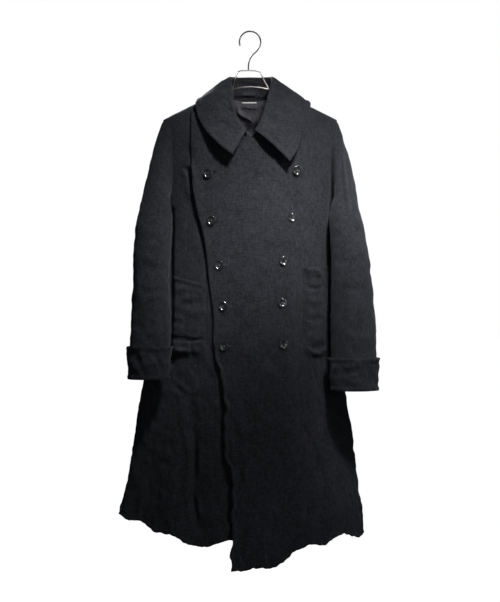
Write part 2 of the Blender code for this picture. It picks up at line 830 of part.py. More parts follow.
def make_hanger():
    """The hook, the small frame in the neck, and an arm under each shoulder."""
    middle = HOOK_INNER + HOOK_WIRE
    centre = Vector((0, SIDE_AT_SHOULDER, -HOOK_INNER))
    hook = []
    for step in range(15):
        around = math.radians(200 - 232 * step / 14)
        hook.append(centre + Vector((math.cos(around), 0, math.sin(around))) * middle)
    hook += [Vector((x, SIDE_AT_SHOULDER, z)) for x, z in
             ((15.5, -47), (6.5, -54.5), (0, STEM_TOP), (-3.5, -76), (-4, STEM_FOOT))]
    wire("hanger_hook", hook, HOOK_WIRE)

    frame = [(-41.5, -136.4), (-38, -119), (-33, -104), (-29, -96.5), (-22, -93.6), (-4, -93.4),
             (14, -93.6), (24, -96.5), (28, -104), (35, -119), (45, -135.8)]
    wire("hanger_frame", [Vector((x, SIDE_AT_SHOULDER, z)) for x, z in frame], FRAME_WIRE)

    below = CLOTH + SEAM + ARM_WIRE * 1.35
    slope = Vector((NECK_HALF - SHOULDER_HALF, 0, NECK_SIDE - SHOULDER_TIP)).normalized()
    down = Vector((slope.z, 0, -slope.x)).normalized() * -below
    down.x, down.z = -abs(down.x), -abs(down.z)

    def under_shoulder(side, x):
        return Vector((side * (x + down.x), SIDE_AT_SHOULDER, shoulder_line(x) + down.z))

    bar = [under_shoulder(-1, x) for x in (ARM_END, 150, 112, 84)]
    bar += [Vector((x, SIDE_AT_SHOULDER, z)) for x, z in
            ((-62, -149.5), (-44, -140), (-22, -134.5), (2, -132.5), (26, -134.5),
             (48, -139.5), (65, -149.5))]
    bar += [under_shoulder(1, x) for x in (84, 112, 150, ARM_END)]
    wire("hanger_arms", bar, ARM_WIRE)


for old in list(bpy.data.objects):
    bpy.data.objects.remove(old)

COAT = new_collection("double_breasted_coat")
make_body()
make_sleeve("sleeve_right", -1, SLEEVE_RIGHT)
make_sleeve("sleeve_left", 1, SLEEVE_LEFT)
make_cuff("cuff_right", -1, SLEEVE_RIGHT)
make_cuff("cuff_left", 1, SLEEVE_LEFT)
make_collar()
make_neck()
for each_pocket in POCKETS:
    make_pocket(each_pocket)
make_buttons()
make_hanger()
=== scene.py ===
"""Looks of a double-breasted wool overcoat that hangs, buttoned, on a thin wire hanger.

Every cloth piece is a copy of its CAD wall, made dense, then creased by tables in
millimetres. X runs across the coat, the front faces -Y, and Z is up from the hook.
"""
import math
from collections import namedtuple

import bmesh
import bpy
import numpy as np
from mathutils import Matrix, Vector
from mathutils.kdtree import KDTree


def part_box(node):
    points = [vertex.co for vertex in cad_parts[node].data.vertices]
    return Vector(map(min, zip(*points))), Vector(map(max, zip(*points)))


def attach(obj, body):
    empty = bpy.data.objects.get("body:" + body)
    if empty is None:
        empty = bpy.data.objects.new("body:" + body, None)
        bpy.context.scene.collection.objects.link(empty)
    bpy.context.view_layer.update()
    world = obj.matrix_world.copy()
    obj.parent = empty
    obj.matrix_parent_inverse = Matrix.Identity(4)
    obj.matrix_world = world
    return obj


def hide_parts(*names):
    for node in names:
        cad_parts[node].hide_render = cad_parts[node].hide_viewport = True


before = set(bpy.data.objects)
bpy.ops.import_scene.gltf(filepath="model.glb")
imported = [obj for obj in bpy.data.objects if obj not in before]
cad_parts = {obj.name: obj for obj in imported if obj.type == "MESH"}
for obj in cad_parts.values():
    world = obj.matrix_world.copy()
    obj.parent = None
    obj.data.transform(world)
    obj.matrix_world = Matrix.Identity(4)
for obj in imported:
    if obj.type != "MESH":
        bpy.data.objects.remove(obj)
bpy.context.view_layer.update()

MM = 0.001


# Camera
# The coat was photographed from straight in front, level with its middle, so that a
# frame 1.457 m high stands at the plane of the hook.
CAMERA_AWAY = 3.2
CAMERA_HEIGHT = -0.651
FRAME_HEIGHT = 1.457
SENSOR = 36.0


def place_object(name, data):
    """A new object in the scene, at the origin, for a mesh, a lamp or a camera."""
    thing = bpy.data.objects.new(name, data)
    bpy.context.scene.collection.objects.link(thing)
    return thing


camera = place_object("photo_camera", bpy.data.cameras.new("photo_camera"))
camera.data.lens = SENSOR * CAMERA_AWAY / FRAME_HEIGHT
camera.data.sensor_width = SENSOR
camera.location = (0, -CAMERA_AWAY, CAMERA_HEIGHT)
camera.rotation_euler = (math.radians(90), 0, 0)
bpy.context.scene.camera = camera


# Studio
# A white room with a pale floor. Most lamps hang together over the wearer's left shoulder,
# each aimed at its own stretch of the coat, so the wool is grey above and dark below.
FLOOR_HEIGHT = -1.62
FLOOR_HALF = 30
ROOM_GLOW = 0.034
GLOW_COLOR = (0.80, 0.86, 1.0, 1)
COOL_WHITE = (0.97, 0.975, 1.0)
SKIRT_WHITE = (0.94, 0.96, 1.0)
FRONT_WHITE = (0.90, 0.94, 1.0)
BACK_WHITE = (0.98, 0.99, 1.0)
LAMP_PLACE = (0.37, -0.88, 0.62)
Light = namedtuple("Light", "name place aim power spread size color",
                   defaults=(0.20, COOL_WHITE))
LIGHTS = (
    Light("key_light", LAMP_PLACE, (-0.08, 0.0, -0.42), 0.67, 33),
    Light("neck_light", LAMP_PLACE, (0.0, 0.03, -0.14), 0.014, 9),
    Light("waist_light", LAMP_PLACE, (0.03, 0.0, -0.54), 0.24, 18),
    Light("left_sleeve_light", LAMP_PLACE, (0.27, 0.0, -0.47), 0.42, 20),
    Light("right_sleeve_light", LAMP_PLACE, (-0.24, 0.0, -0.66), 0.10, 18),
    Light("cuff_light", LAMP_PLACE, (0.28, -0.08, -0.80), 0.14, 12),
    Light("skirt_light", (0.76, -1.00, -0.74), (-0.20, 0.0, -1.32), 0.21, 44, color=SKIRT_WHITE),
    Light("side_light", (1.10, -0.50, 0.0), (0.28, 0.0, -0.46), 0.18, 26, 0.40),
    Light("front_light", (0.30, -3.60, -0.38), (0.0, 0.0, -0.60), 0.70, 60, 0.90, FRONT_WHITE),
    Light("back_light", (-0.60, 1.60, 0.50), (0.0, 0.0, -0.42), 7.0, 58, 0.50, BACK_WHITE),
    Light("low_back_light", (0.50, 2.00, -0.60), (0.0, 0.0, -0.85), 1.6, 50, 0.60, BACK_WHITE),
)


def hang_light(light):
    """A round lamp that faces its aim and isn't seen itself."""
    lamp = bpy.data.lights.new(light.name, "AREA")
    lamp.shape = "DISK"
    lamp.size = light.size
    lamp.energy = light.power
    lamp.color = light.color
    lamp.spread = math.radians(light.spread)
    holder = place_object(light.name, lamp)
    holder.location = light.place
    aim = Vector(light.aim) - Vector(light.place)
    holder.rotation_euler = aim.to_track_quat("-Z", "Y").to_euler()
    holder.visible_camera = False


def set_inputs(tree, node, inputs):
    """Gives each input of a node a value, or a link from another node's output."""
    for name, value in inputs.items():
        if isinstance(value, bpy.types.NodeSocket):
            tree.links.new(value, node.inputs[name])
        else:
            node.inputs[name].default_value = value


def add_node(tree, kind, inputs, **settings):
    """A new shader node with its settings and its inputs."""
    node = tree.nodes.new("ShaderNode" + kind)
    for name, value in settings.items():
        setattr(node, name, value)
    set_inputs(tree, node, inputs)
    return node


def start_material(name, inputs):
    """A new material, its node tree, its shader, and the object's own coordinates."""
    material = bpy.data.materials.new(name)
    material.use_nodes = True
    tree = material.node_tree
    shader = tree.nodes["Principled BSDF"]
    set_inputs(tree, shader, inputs)
    return material, tree, shader, add_node(tree, "TexCoord", {}).outputs["Object"]


def light_room():
    """A faint even glow on the coat, and pure white behind it."""
    world = bpy.data.worlds.new("white_room")
    world.use_nodes = True
    bpy.context.scene.world = world
    tree = world.node_tree
    tree.nodes.clear()
    glow = add_node(tree, "Background", {"Color": GLOW_COLOR, "Strength": ROOM_GLOW})
    white = add_node(tree, "Background", {"Color": (1, 1, 1, 1)})
    path = add_node(tree, "LightPath", {})
    mix = add_node(tree, "MixShader", {"Fac": path.outputs["Is Camera Ray"],
                                       1: glow.outputs["Background"],
                                       2: white.outputs["Background"]})
    add_node(tree, "OutputWorld", {"Surface": mix.outputs["Shader"]})


def finish_mesh(bm, name):
    """A mesh made from a bmesh, which is freed."""
    mesh = bpy.data.meshes.new(name)
    bm.to_mesh(mesh)
    bm.free()
    return mesh


for each_light in LIGHTS:
    hang_light(each_light)
light_room()
bpy.context.scene.view_settings.view_transform = "Standard"

floor_bm = bmesh.new()
bmesh.ops.create_grid(floor_bm, x_segments=8, y_segments=8, size=FLOOR_HALF)
bmesh.ops.translate(floor_bm, verts=floor_bm.verts, vec=(0, 0, FLOOR_HEIGHT))
floor = place_object("pale_floor", finish_mesh(floor_bm, "pale_floor"))
floor.data.materials.append(start_material("pale_floor_paint", {
    "Base Color": (0.9, 0.9, 0.9, 1), "Roughness": 1.0,
    "Emission Color": (1, 1, 1, 1), "Emission Strength": 1.0})[0])
floor.visible_diffuse = False
floor.visible_glossy = False


# Back
# The back of the coat is one wide panel of thick, felted wool, sewn to the fronts along
# the shoulders and sides. It hangs from the hanger's arms in a few long, soft folds.
WOOL_DARK = (0.0105, 0.0108, 0.0128)
WOOL_LIGHT = (0.036, 0.037, 0.043)
RIM_ANGLE = math.radians(50)
CORNER_TURN = math.radians(32)
SHORTEST_RIM = 4.5
EDGE_ROUNDING = 1.0
SHOULDER_HALF, SHOULDER_TIP = 211, -213
NECK_HALF, NECK_SIDE, NECK_FRONT = 76, -145, -268
ARMHOLE_SIDE, UNDERARM = 178, -437
HEM_TOP = -1150
FAR = 80.0
SEAM, SEAM_REACH, SEAM_EASE = 0.35, 8.0, 18.0
SEAM_SINK, SEAM_WIDTH = 0.75, 4.5
HELD, FREED = 1, 26
# Stretches of height down which something sets in, from none to full.
SKIRT_CRUMPLES = (-640, -900)
HEM_CRUMPLES = (-1090, -1225)
HEM_WAVERS = (-1120, -1215)
EDGE_THICKENS = (-700, -860)
EDGE_THINS = (-1140, -1180)
BODY_FELT = ((0.45, 110, 3), (0.2, 38, 4), (0.16, 17, 5))
HEM_FELT = ((0.8, 58, 6), (0.5, 25, 7))
HEM_WAVES = ((1.6, 34, 9), (0.8, 15, 10))
Roll = namedtuple("Roll", "rise at width dip dip_at dip_width")
PANEL_ROLL = Roll(0.9, 4, 3, 0.8, 10, 2.6)
Groove = namedtuple("Groove", "x_top top x_low low depth width")
SIDE_GROOVES = (Groove(199, -296, 190, -478, 8.0, 4.5),
                Groove(-188, -415, -189, -815, 12.0, 5.0))
GROOVE_END = 30
# A crease: x and z of its start, middle and end, then its depth and width.
BACK_CREASES = (
    (-96, -215, -120, -300, -150, -392, -2, 13),
    (104, -222, 132, -305, 156, -388, -2.2, 12),
    (-176, -452, -132, -470, -84, -463, -1.8, 11),
    (182, -470, 128, -492, 70, -482, -2, 12),
    (-150, -540, -118, -700, -128, -840, -2.4, 13),
    (-34, -420, -22, -560, -30, -690, -1.6, 14),
    (60, -520, 84, -650, 76, -800, 2.2, 15),
    (150, -560, 136, -690, 160, -850, -2.6, 11),
    (-70, -860, -92, -990, -84, -1150, -3, 12),
    (18, -900, 4, -1030, 20, -1190, -2.6, 13),
    (110, -930, 128, -1050, 118, -1180, 2.6, 12),
    (212, -900, 190, -1010, 214, -1150, -2.4, 12),
    (-240, -930, -214, -1030, -236, -1130, -2.2, 12),
    (-40, -330, 8, -341, 60, -332, -0.9, 10),
    (-60, -640, -8, -654, 50, -642, -1, 10),
)


def add_noise(tree, place, scale, detail=2.0, rough=0.5):
    """An even noise, in lumps of about one over its scale, in metres."""
    noise = add_node(tree, "TexNoise", {"Vector": place, "Scale": scale, "Detail": detail,
                                        "Roughness": rough})
    return noise.outputs["Fac"]


def stretched(tree, place, scale=(1, 1, 1), turn=0.0):
    """A place that is stretched along its axes and turned as seen from the front."""
    turned = add_node(tree, "Mapping", {"Vector": place, "Scale": scale,
                                        "Rotation": (0, turn, 0)})
    return turned.outputs["Vector"]


def add_ramp(tree, factor, start, low, end, high):
    """A colour that goes from low to high as the factor goes from start to end."""
    ramp = add_node(tree, "ValToRGB", {"Fac": factor})
    for stop, position, color in zip(ramp.color_ramp.elements, (start, end), (low, high)):
        stop.position = position
        stop.color = (*color, 1)
    return ramp.outputs["Color"]


def add_bump(tree, height, strength, distance, **beneath):
    """A relief, which may lie on another one, given as its Normal."""
    bump = add_node(tree, "Bump", {"Height": height, "Strength": strength,
                                   "Distance": distance, **beneath})
    return bump.outputs["Normal"]


def wool(name, weave_turn=0.0):
    """Felted, brushed wool: mottled greys, a faint crossed grain, and a short nap."""
    cloth, tree, shader, place = start_material(name, {
        "Roughness": 0.94, "Specular IOR Level": 0.16, "Sheen Weight": 0.07,
        "Sheen Roughness": 0.55, "Sheen Tint": (0.86, 0.90, 1.0, 1)})

    def grain(scale, detail, stretch=(1, 1, 1), turn=0.0, rough=0.55):
        turned = stretched(tree, place, stretch, turn + weave_turn)
        return add_noise(tree, turned, scale, detail, rough)

    def blend(first, second, amount):
        mix = add_node(tree, "Mix", {"Factor": amount, "A": first, "B": second})
        return mix.outputs["Result"]

    lengthwise = grain(400, 2, (1, 1, 0.16), 0.04)
    crosswise = grain(400, 2, (0.14, 1, 1), -0.04)
    pile = grain(700, 4, rough=0.75)
    clumps = grain(210, 3, (1, 1, 0.8), rough=0.65)
    patches = grain(22, 2, rough=0.5)
    fibres = blend(blend(lengthwise, crosswise, 0.5), pile, 0.38)
    tone = blend(blend(fibres, clumps, 0.20), patches, 0.10)
    lumps = add_bump(tree, clumps, 0.45, 0.0016)
    set_inputs(tree, shader, {
        "Base Color": add_ramp(tree, tone, 0.41, WOOL_DARK, 0.59, WOOL_LIGHT),
        "Normal": add_bump(tree, fibres, 0.8, 0.0012, Normal=lumps)})
    return cloth


WOOL = wool("felted_wool")


def ease(low, high, value):
    """Goes softly from 0 at low to 1 at high, which may lie either way round."""
    part = np.clip((value - low) / (high - low), 0, 1)
    return part * part * (3 - 2 * part)


def hump(value, middle, width):
    """A soft swelling of height 1 about a middle."""
    return np.exp(-((value - middle) / width) ** 2)


def read_table(place, table):
    """The value at each place, between rows of a place and a value."""
    rows = np.array(sorted(table), float)
    return np.interp(place, rows[:, 0], rows[:, 1])


def baked_mesh(thing):
    """An object's mesh with its modifiers applied; the object goes."""
    baked = thing.evaluated_get(bpy.context.evaluated_depsgraph_get())
    mesh = bpy.data.meshes.new_from_object(baked)
    bpy.data.objects.remove(thing)
    return mesh


def dense_copy(node, levels):
    """A CAD wall with its triangles joined to quads and subdivided; its rims stay put."""
    bm = bmesh.new()
    bm.from_mesh(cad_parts[node].data)
    bmesh.ops.remove_doubles(bm, verts=bm.verts, dist=0.01 * MM)
    bmesh.ops.join_triangles(bm, faces=bm.faces, angle_face_threshold=RIM_ANGLE,
                             angle_shape_threshold=math.radians(120))
    edge_crease = bm.edges.layers.float.new("crease_edge")
    corner_crease = bm.verts.layers.float.new("crease_vert")
    for edge in bm.edges:
        if edge.calc_face_angle(0) > RIM_ANGLE:
            edge[edge_crease] = 1.0
    for vert in bm.verts:
        rims = [edge.other_vert(vert).co - vert.co for edge in vert.link_edges
                if edge[edge_crease] and edge.calc_length() > SHORTEST_RIM * MM]
        if len(rims) == 2 and rims[0].angle(-rims[1]) > CORNER_TURN:
            vert[corner_crease] = 1.0
    plain = place_object(node + "_plain", finish_mesh(bm, node + "_plain"))
    dense = plain.modifiers.new("dense", "SUBSURF")
    dense.levels = dense.render_levels = levels
    return baked_mesh(plain)


def read_points(mesh):
    """A mesh's vertices and their normals, in millimetres."""
    places = np.empty(len(mesh.vertices) * 3)
    mesh.vertices.foreach_get("co", places)
    ways = np.empty(len(mesh.vertices) * 3)
    mesh.vertices.foreach_get("normal", ways)
    return places.reshape(-1, 3) / MM, ways.reshape(-1, 3)


def write_points(mesh, points):
    """Moves a mesh's vertices to these points, in millimetres."""
    mesh.vertices.foreach_set("co", (points * MM).ravel())
    mesh.update()


def rim_points(mesh):
    """The numbers of the vertices on a wall's cut edges."""
    bm = bmesh.new()
    bm.from_mesh(mesh)
    rim = sorted({vert.index for edge in bm.edges if edge.calc_face_angle(0) > RIM_ANGLE
                  for vert in edge.verts})
    bm.free()
    return rim


def tree_of(spots):
    """A search tree over some points."""
    tree = KDTree(len(spots))
    for number, place in enumerate(spots):
        tree.insert(place, number)
    tree.balance()
    return tree


def distance_to(points, chosen):
    """How far each point lies from the nearest chosen one, up to FAR."""
    if len(chosen) == 0:
        return np.full(len(points), FAR)
    tree = tree_of(chosen)
    return np.array([min(FAR, tree.find(point)[2]) for point in points])


def felt_waves(points, length, seed):
    """A random smooth relief of about unit height, with lumps of the given length."""
    draw = np.random.default_rng(seed)
    total = np.zeros(len(points))
    for _ in range(18):
        way = draw.normal(size=3)
        way *= 2 * math.pi / length * draw.uniform(0.6, 1.5) / np.linalg.norm(way)
        total += np.sin(points @ way + draw.uniform(0, 2 * math.pi))
    return total / 3


def felt(points, waves):
    """The wool's lumps: reliefs that each have a height, a length and a seed."""
    return sum(height * felt_waves(points, length, seed) for height, length, seed in waves)


def crease_height(points, creases):
    """Soft troughs and ridges along bent lines; each is uneven and fades at its ends."""
    height = np.zeros(len(points))
    flat = points[:, [0, 2]]
    for number, (*spots, depth, width) in enumerate(creases):
        bends = np.array(spots, float).reshape(3, 2)
        start, middle, end = bends
        low = bends.min(axis=0) - 3.2 * width
        high = bends.max(axis=0) + 3.2 * width
        near = np.where(((flat > low) & (flat < high)).all(axis=1))[0]
        if len(near) == 0:
            continue
        spots = flat[near]
        best = np.full(len(near), 1e9)
        along = np.zeros(len(near))
        steps = 10
        line = [start * (1 - t) * (1 - 2 * t) + middle * 4 * t * (1 - t) + end * t * (2 * t - 1)
                for t in np.linspace(0, 1, steps + 1)]
        for step in range(steps):
            run = line[step + 1] - line[step]
            part = np.clip((spots - line[step]) @ run / (run @ run), 0, 1)
            away = np.linalg.norm(spots - line[step] - part[:, None] * run, axis=1)
            closer = away < best
            best = np.where(closer, away, best)
            along = np.where(closer, (step + part) / steps, along)
        fade = np.sin(math.pi * along) ** 0.7
        uneven = 1 + 0.3 * np.sin(9 * along + number * 2.1)
        wide = width * (1 + 0.25 * np.sin(6 * along + number))
        profile = hump(best, 0, wide) - 0.33 * hump(best, 1.9 * wide, wide)
        height[near] += depth * fade * uneven * profile
    return height


def out_of_body(points):
    """The way out of the coat's body at each point, the same for both faces of a wall."""
    way = np.zeros_like(points)
    way[:, 0] = points[:, 0] / 260 * 0.6
    way[:, 1] = (points[:, 1] - 14) / 60
    length = np.maximum(np.linalg.norm(way, axis=1), 0.15)
    return way / length[:, None]


def body_relief(points, creases):
    """How far the body's cloth moves out: creases, felt lumps, and a puckered hem."""
    facing = np.clip(np.abs(out_of_body(points)[:, 1]) * 1.6, 0, 1)
    relief = crease_height(points, creases) * facing + felt(points, BODY_FELT)
    skirt = ease(*SKIRT_CRUMPLES, points[:, 2])
    crumple = np.abs(felt_waves(points * [1, 1, 0.7], 62, 51))
    crumple += 0.6 * np.abs(felt_waves(points, 34, 52))
    relief += (0.25 + 1.4 * skirt) * np.minimum(crumple - 0.9, 1.2)
    hem = ease(*HEM_CRUMPLES, points[:, 2])
    return relief + hem * felt(points, HEM_FELT)


def side_groove(points):
    """How deep the fold between each front and its sleeve goes, from the armhole down."""
    depth = np.zeros(len(points))
    for groove in SIDE_GROOVES:
        line = ((groove.top, groove.x_top), (groove.low, groove.x_low))
        middle = read_table(points[:, 2], line)
        reach = ease(groove.top, groove.top - GROOVE_END, points[:, 2])
        reach *= ease(groove.low, groove.low + GROOVE_END, points[:, 2])
        depth += groove.depth * reach * hump(points[:, 0], middle, groove.width)
    return depth * (out_of_body(points)[:, 1] < 0)


def shoulder_line(x):
    """The height of the shoulder seam, from the neck down to its tip."""
    slope = (SHOULDER_TIP - NECK_SIDE) / (SHOULDER_HALF - NECK_HALF)
    return NECK_SIDE + slope * (np.abs(x) - NECK_HALF)


def outer_face(ways, out):
    """Which points are on the face of a wall that looks out."""
    return (ways * out).sum(axis=1) > 0


def cut_edge(mesh, out_of):
    """The points on a wall's cut edges, and which of them lie on its outer face."""
    points, ways = read_points(mesh)
    rim = rim_points(mesh)
    return points[rim], outer_face(ways[rim], out_of(points[rim]))


def close_seam(mesh, out_of, neighbours):
    """Draws a cut edge up to its neighbours' edges, so that no light shows between."""
    points, _ = read_points(mesh)
    edge, outer = cut_edge(mesh, out_of)
    pulls = np.zeros_like(edge)
    for face in (True, False):
        tree = tree_of(np.concatenate([spots[sides == face] for spots, sides in neighbours]))
        for number in np.where(outer == face)[0]:
            place, _, away = tree.find(edge[number])
            if SEAM < away < SEAM_REACH:
                pulls[number] = (np.array(place) - edge[number]) * (1 - SEAM / away)
    tree = tree_of(edge)
    for number, place in enumerate(points):
        near = tree.find_n(place, 3)
        away = near[0][2]
        if away < SEAM_EASE:
            pull = np.mean([pulls[found[1]] for found in near], axis=0)
            pull = pulls[near[0][1]] if away < 0.01 else pull
            points[number] += pull * (1 - away / SEAM_EASE) ** 2
    write_points(mesh, points)


def body_edges(points, rim, free_side):
    """The rim points sewn to a sleeve or the collar, all sewn ones, and the free ones."""
    spots = points[rim]
    x, z = np.abs(spots[:, 0]), spots[:, 2]
    ridge = (np.abs(z - shoulder_line(x)) < 4) & (x > NECK_HALF - 1)
    neck = (x < NECK_HALF + 2) & (z > NECK_FRONT)
    armhole = (x > ARMHOLE_SIDE) & (z > UNDERARM - 4) & ~ridge
    free = (z < HEM_TOP) | free_side(spots)
    return spots[(neck | armhole) & ~free], spots[~free], spots[free]


def roll_height(edge, roll):
    """A turned edge: it swells, then dips where it is held down."""
    return (roll.rise * hump(edge, roll.at, roll.width)
            - roll.dip * hump(edge, roll.dip_at, roll.dip_width))


def shape_panel(mesh, creases, free_side, lifts=((0, 0), (1, 0))):
    """Creases a body panel, sinks its seams, and lifts and thickens its turned edges."""
    points, ways = read_points(mesh)
    z = points[:, 2]
    held, sewn, free = body_edges(points, rim_points(mesh), free_side)
    hold = ease(HELD, FREED, distance_to(points, held))
    turned = distance_to(points, free)
    out = out_of_body(points)
    skirt = ease(*EDGE_THICKENS, z)
    thick = 0.25 + 4.2 * skirt * (1 - 0.6 * ease(*EDGE_THINS, z))
    roll = roll_height(turned, PANEL_ROLL) * np.where(outer_face(ways, out), thick, 0.1)
    sink = SEAM_SINK * hump(distance_to(points, sewn), 0, SEAM_WIDTH)
    moved = points + out * (body_relief(points, creases) * hold)[:, None]
    moved += ways * (roll - sink)[:, None]
    moved[:, 1] += side_groove(points)
    stand = read_table(z, lifts)
    moved[:, 1] -= stand * ease(24, 0, turned)
    crimp = skirt * ease(34, 4, turned) * (stand > 0)
    moved[:, 0] += crimp * (1.9 * np.sin(z / 7.3) + 1.6 * np.sin(z / 12.1 + 1))
    moved[:, 2] += ease(*HEM_WAVERS, z) * felt(points, HEM_WAVES)
    write_points(mesh, moved)


def round_edges(piece, width=EDGE_ROUNDING, segments=2):
    """Takes the hard corner off the cut edges of a wall."""
    soft = piece.modifiers.new("soft_edges", "BEVEL")
    soft.limit_method = "ANGLE"
    soft.angle_limit = RIM_ANGLE
    soft.width = width * MM
    soft.segments = segments
    soft.affect = "EDGES"


def dress(name, mesh, material, slot, *nodes):
    """Makes a finished mesh a piece that stands for its CAD nodes."""
    mesh.materials.clear()
    mesh.materials.append(material)
    mesh.shade_smooth()
    piece = place_object(name, mesh)
    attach(piece, "root")
    if nodes:
        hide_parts(*nodes)
    return piece


back_mesh = dense_copy("back", 3)
shape_panel(back_mesh, BACK_CREASES, lambda spots: np.zeros(len(spots), bool))
BACK_EDGE = cut_edge(back_mesh, out_of_body)
back_panel = dress("back_panel", back_mesh, WOOL, "wool", "back")
round_edges(back_panel, segments=1)


# Fronts
# The wearer's left front laps over the right one, from the collar down to its long
# corner. Its edge is turned and rolls a little, and both fronts crease below the waist.
# Down the edge, by height: where it runs, how far it rolls forward, and how far the
# front beneath it sinks.
EDGE_LINE = ((-150, -139), (-353, -138), (-443, -123), (-513, -105), (-612, -97), (-700, -82),
             (-760, -91), (-830, -66), (-880, -62), (-918, -49), (-950, -62), (-1010, -62),
             (-1085, -36), (-1140, -47), (-1190, -38), (-1235, -45), (-1310, -45))
EDGE_LIFTS = ((-160, 0.2), (-318, 0.3), (-345, 4.0), (-470, 4.2), (-540, 2.0), (-620, 1.2),
              (-760, 1.2), (-815, 3.0), (-860, 4.8), (-930, 3.0), (-1010, 4.0), (-1110, 5.6),
              (-1170, 2.6), (-1300, 2.0))
EDGE_HOLLOWS = ((-150, 0), (-325, 1.0), (-345, 5.0), (-470, 5.0), (-540, 2.5), (-620, 1.4),
                (-760, 1.4), (-815, 3.4), (-870, 5.0), (-1120, 5.5), (-1200, 3.5), (-1300, 3))
FRONT_CREASES = (
    (-157, -330, -147, -344, -138, -361, -4.2, 5),
    (-145, -884, -133, -1010, -136, -1124, -6.6, 9),
    (-138, -1089, -133, -1143, -117, -1219, -6.2, 8),
    (-181, -856, -162, -870, -140, -891, -3.4, 7),
    (-214, -1169, -186, -1150, -152, -1136, -2.4, 8),
    (-233, -898, -245, -982, -254, -1065, 2.1, 15),
    (-262, -1005, -226, -1034, -186, -1048, -1.7, 10),
    (-220, -930, -196, -960, -170, -966, -1.4, 9),
    (-240, -1096, -210, -1108, -178, -1100, 1.6, 9),
    (-62, -1017, -48, -1048, -31, -1081, 5, 7),
    (-17, -1034, -24, -1065, -40, -1110, -5.6, 6),
    (-66, -874, -55, -898, -43, -923, 4.2, 4.5),
    (-40, -936, -38, -960, -46, -984, -2.4, 6),
    (-50, -963, -41, -993, -50, -1020, 2.3, 7),
    (-20, -1108, -6, -1140, -14, -1176, -1.7, 8),
    (29, -772, 83, -820, 157, -844, -1.4, 15),
    (-10, -820, 29, -867, 38, -934, -1.4, 14),
    (119, -958, 162, -1034, 171, -1124, -3.4, 11),
    (70, -930, 96, -1000, 92, -1090, 1.4, 16),
    (147, -1091, 140, -1139, 133, -1210, -4.4, 8),
    (209, -1053, 214, -1112, 221, -1196, -2.7, 10),
    (178, -1080, 182, -1140, 176, -1200, 1.9, 9),
    (62, -1136, 52, -1184, 43, -1267, -3.6, 8),
    (90, -1128, 88, -1180, 82, -1240, 1.6, 9),
    (5, -1172, -5, -1219, -10, -1267, 2, 10),
    (30, -1066, 74, -1084, 112, -1078, -1.5, 10),
    (-67, -401, 0, -413, 83, -401, -0.7, 10),
    (-57, -513, 5, -527, 81, -515, -0.8, 9),
    (-43, -615, 14, -625, 71, -613, -0.8, 9),
    (-176, -649, -147, -663, -105, -653, -1.1, 8),
    (-164, -387, -152, -423, -145, -487, -1.2, 10),
    (-176, -240, -157, -282, -128, -316, -1.5, 11),
    (162, -235, 171, -282, 181, -339, -1.2, 11),
    (-286, -1080, -280, -1128, -288, -1172, -2, 9),
    (-232, -1110, -240, -1150, -236, -1200, 2, 9),
    (256, -960, 262, -1010, 258, -1070, 1.5, 10),
    (232, -900, 222, -950, 230, -1010, -1.4, 10),
)


def hollow_beside_edge(mesh):
    """Sinks the front that lies beneath, from just outside the other's edge inward."""
    points, _ = read_points(mesh)
    depth = read_table(points[:, 2], EDGE_HOLLOWS)
    inward = points[:, 0] - read_table(points[:, 2], EDGE_LINE)
    depth *= ease(-17, -3, inward) * ease(64, 24, inward)
    points -= out_of_body(points) * depth[:, None]
    write_points(mesh, points)


def past_front_edge(spots):
    """The rim points on the free edge of the front that laps over."""
    upper = (spots[:, 0] < 0) & (spots[:, 2] > -275)
    return (spots[:, 0] < read_table(spots[:, 2], EDGE_LINE) + 8) | upper


def under_lap(spots):
    """The rim points on the hidden edge of the front that lies beneath."""
    return (spots[:, 0] > 4) & (spots[:, 0] < 180)


right_mesh = dense_copy("front_right", 3)
shape_panel(right_mesh, FRONT_CREASES, under_lap)
hollow_beside_edge(right_mesh)
close_seam(right_mesh, out_of_body, [BACK_EDGE])
RIGHT_EDGE = cut_edge(right_mesh, out_of_body)
right_front = dress("right_front", right_mesh, WOOL, "wool", "front_right")
round_edges(right_front, segments=1)

left_mesh = dense_copy("front_left", 3)
shape_panel(left_mesh, FRONT_CREASES, past_front_edge, EDGE_LIFTS)
close_seam(left_mesh, out_of_body, [BACK_EDGE])
LEFT_EDGE = cut_edge(left_mesh, out_of_body)
left_front = dress("left_front", left_mesh, WOOL, "wool", "front_left")
round_edges(left_front, segments=1)


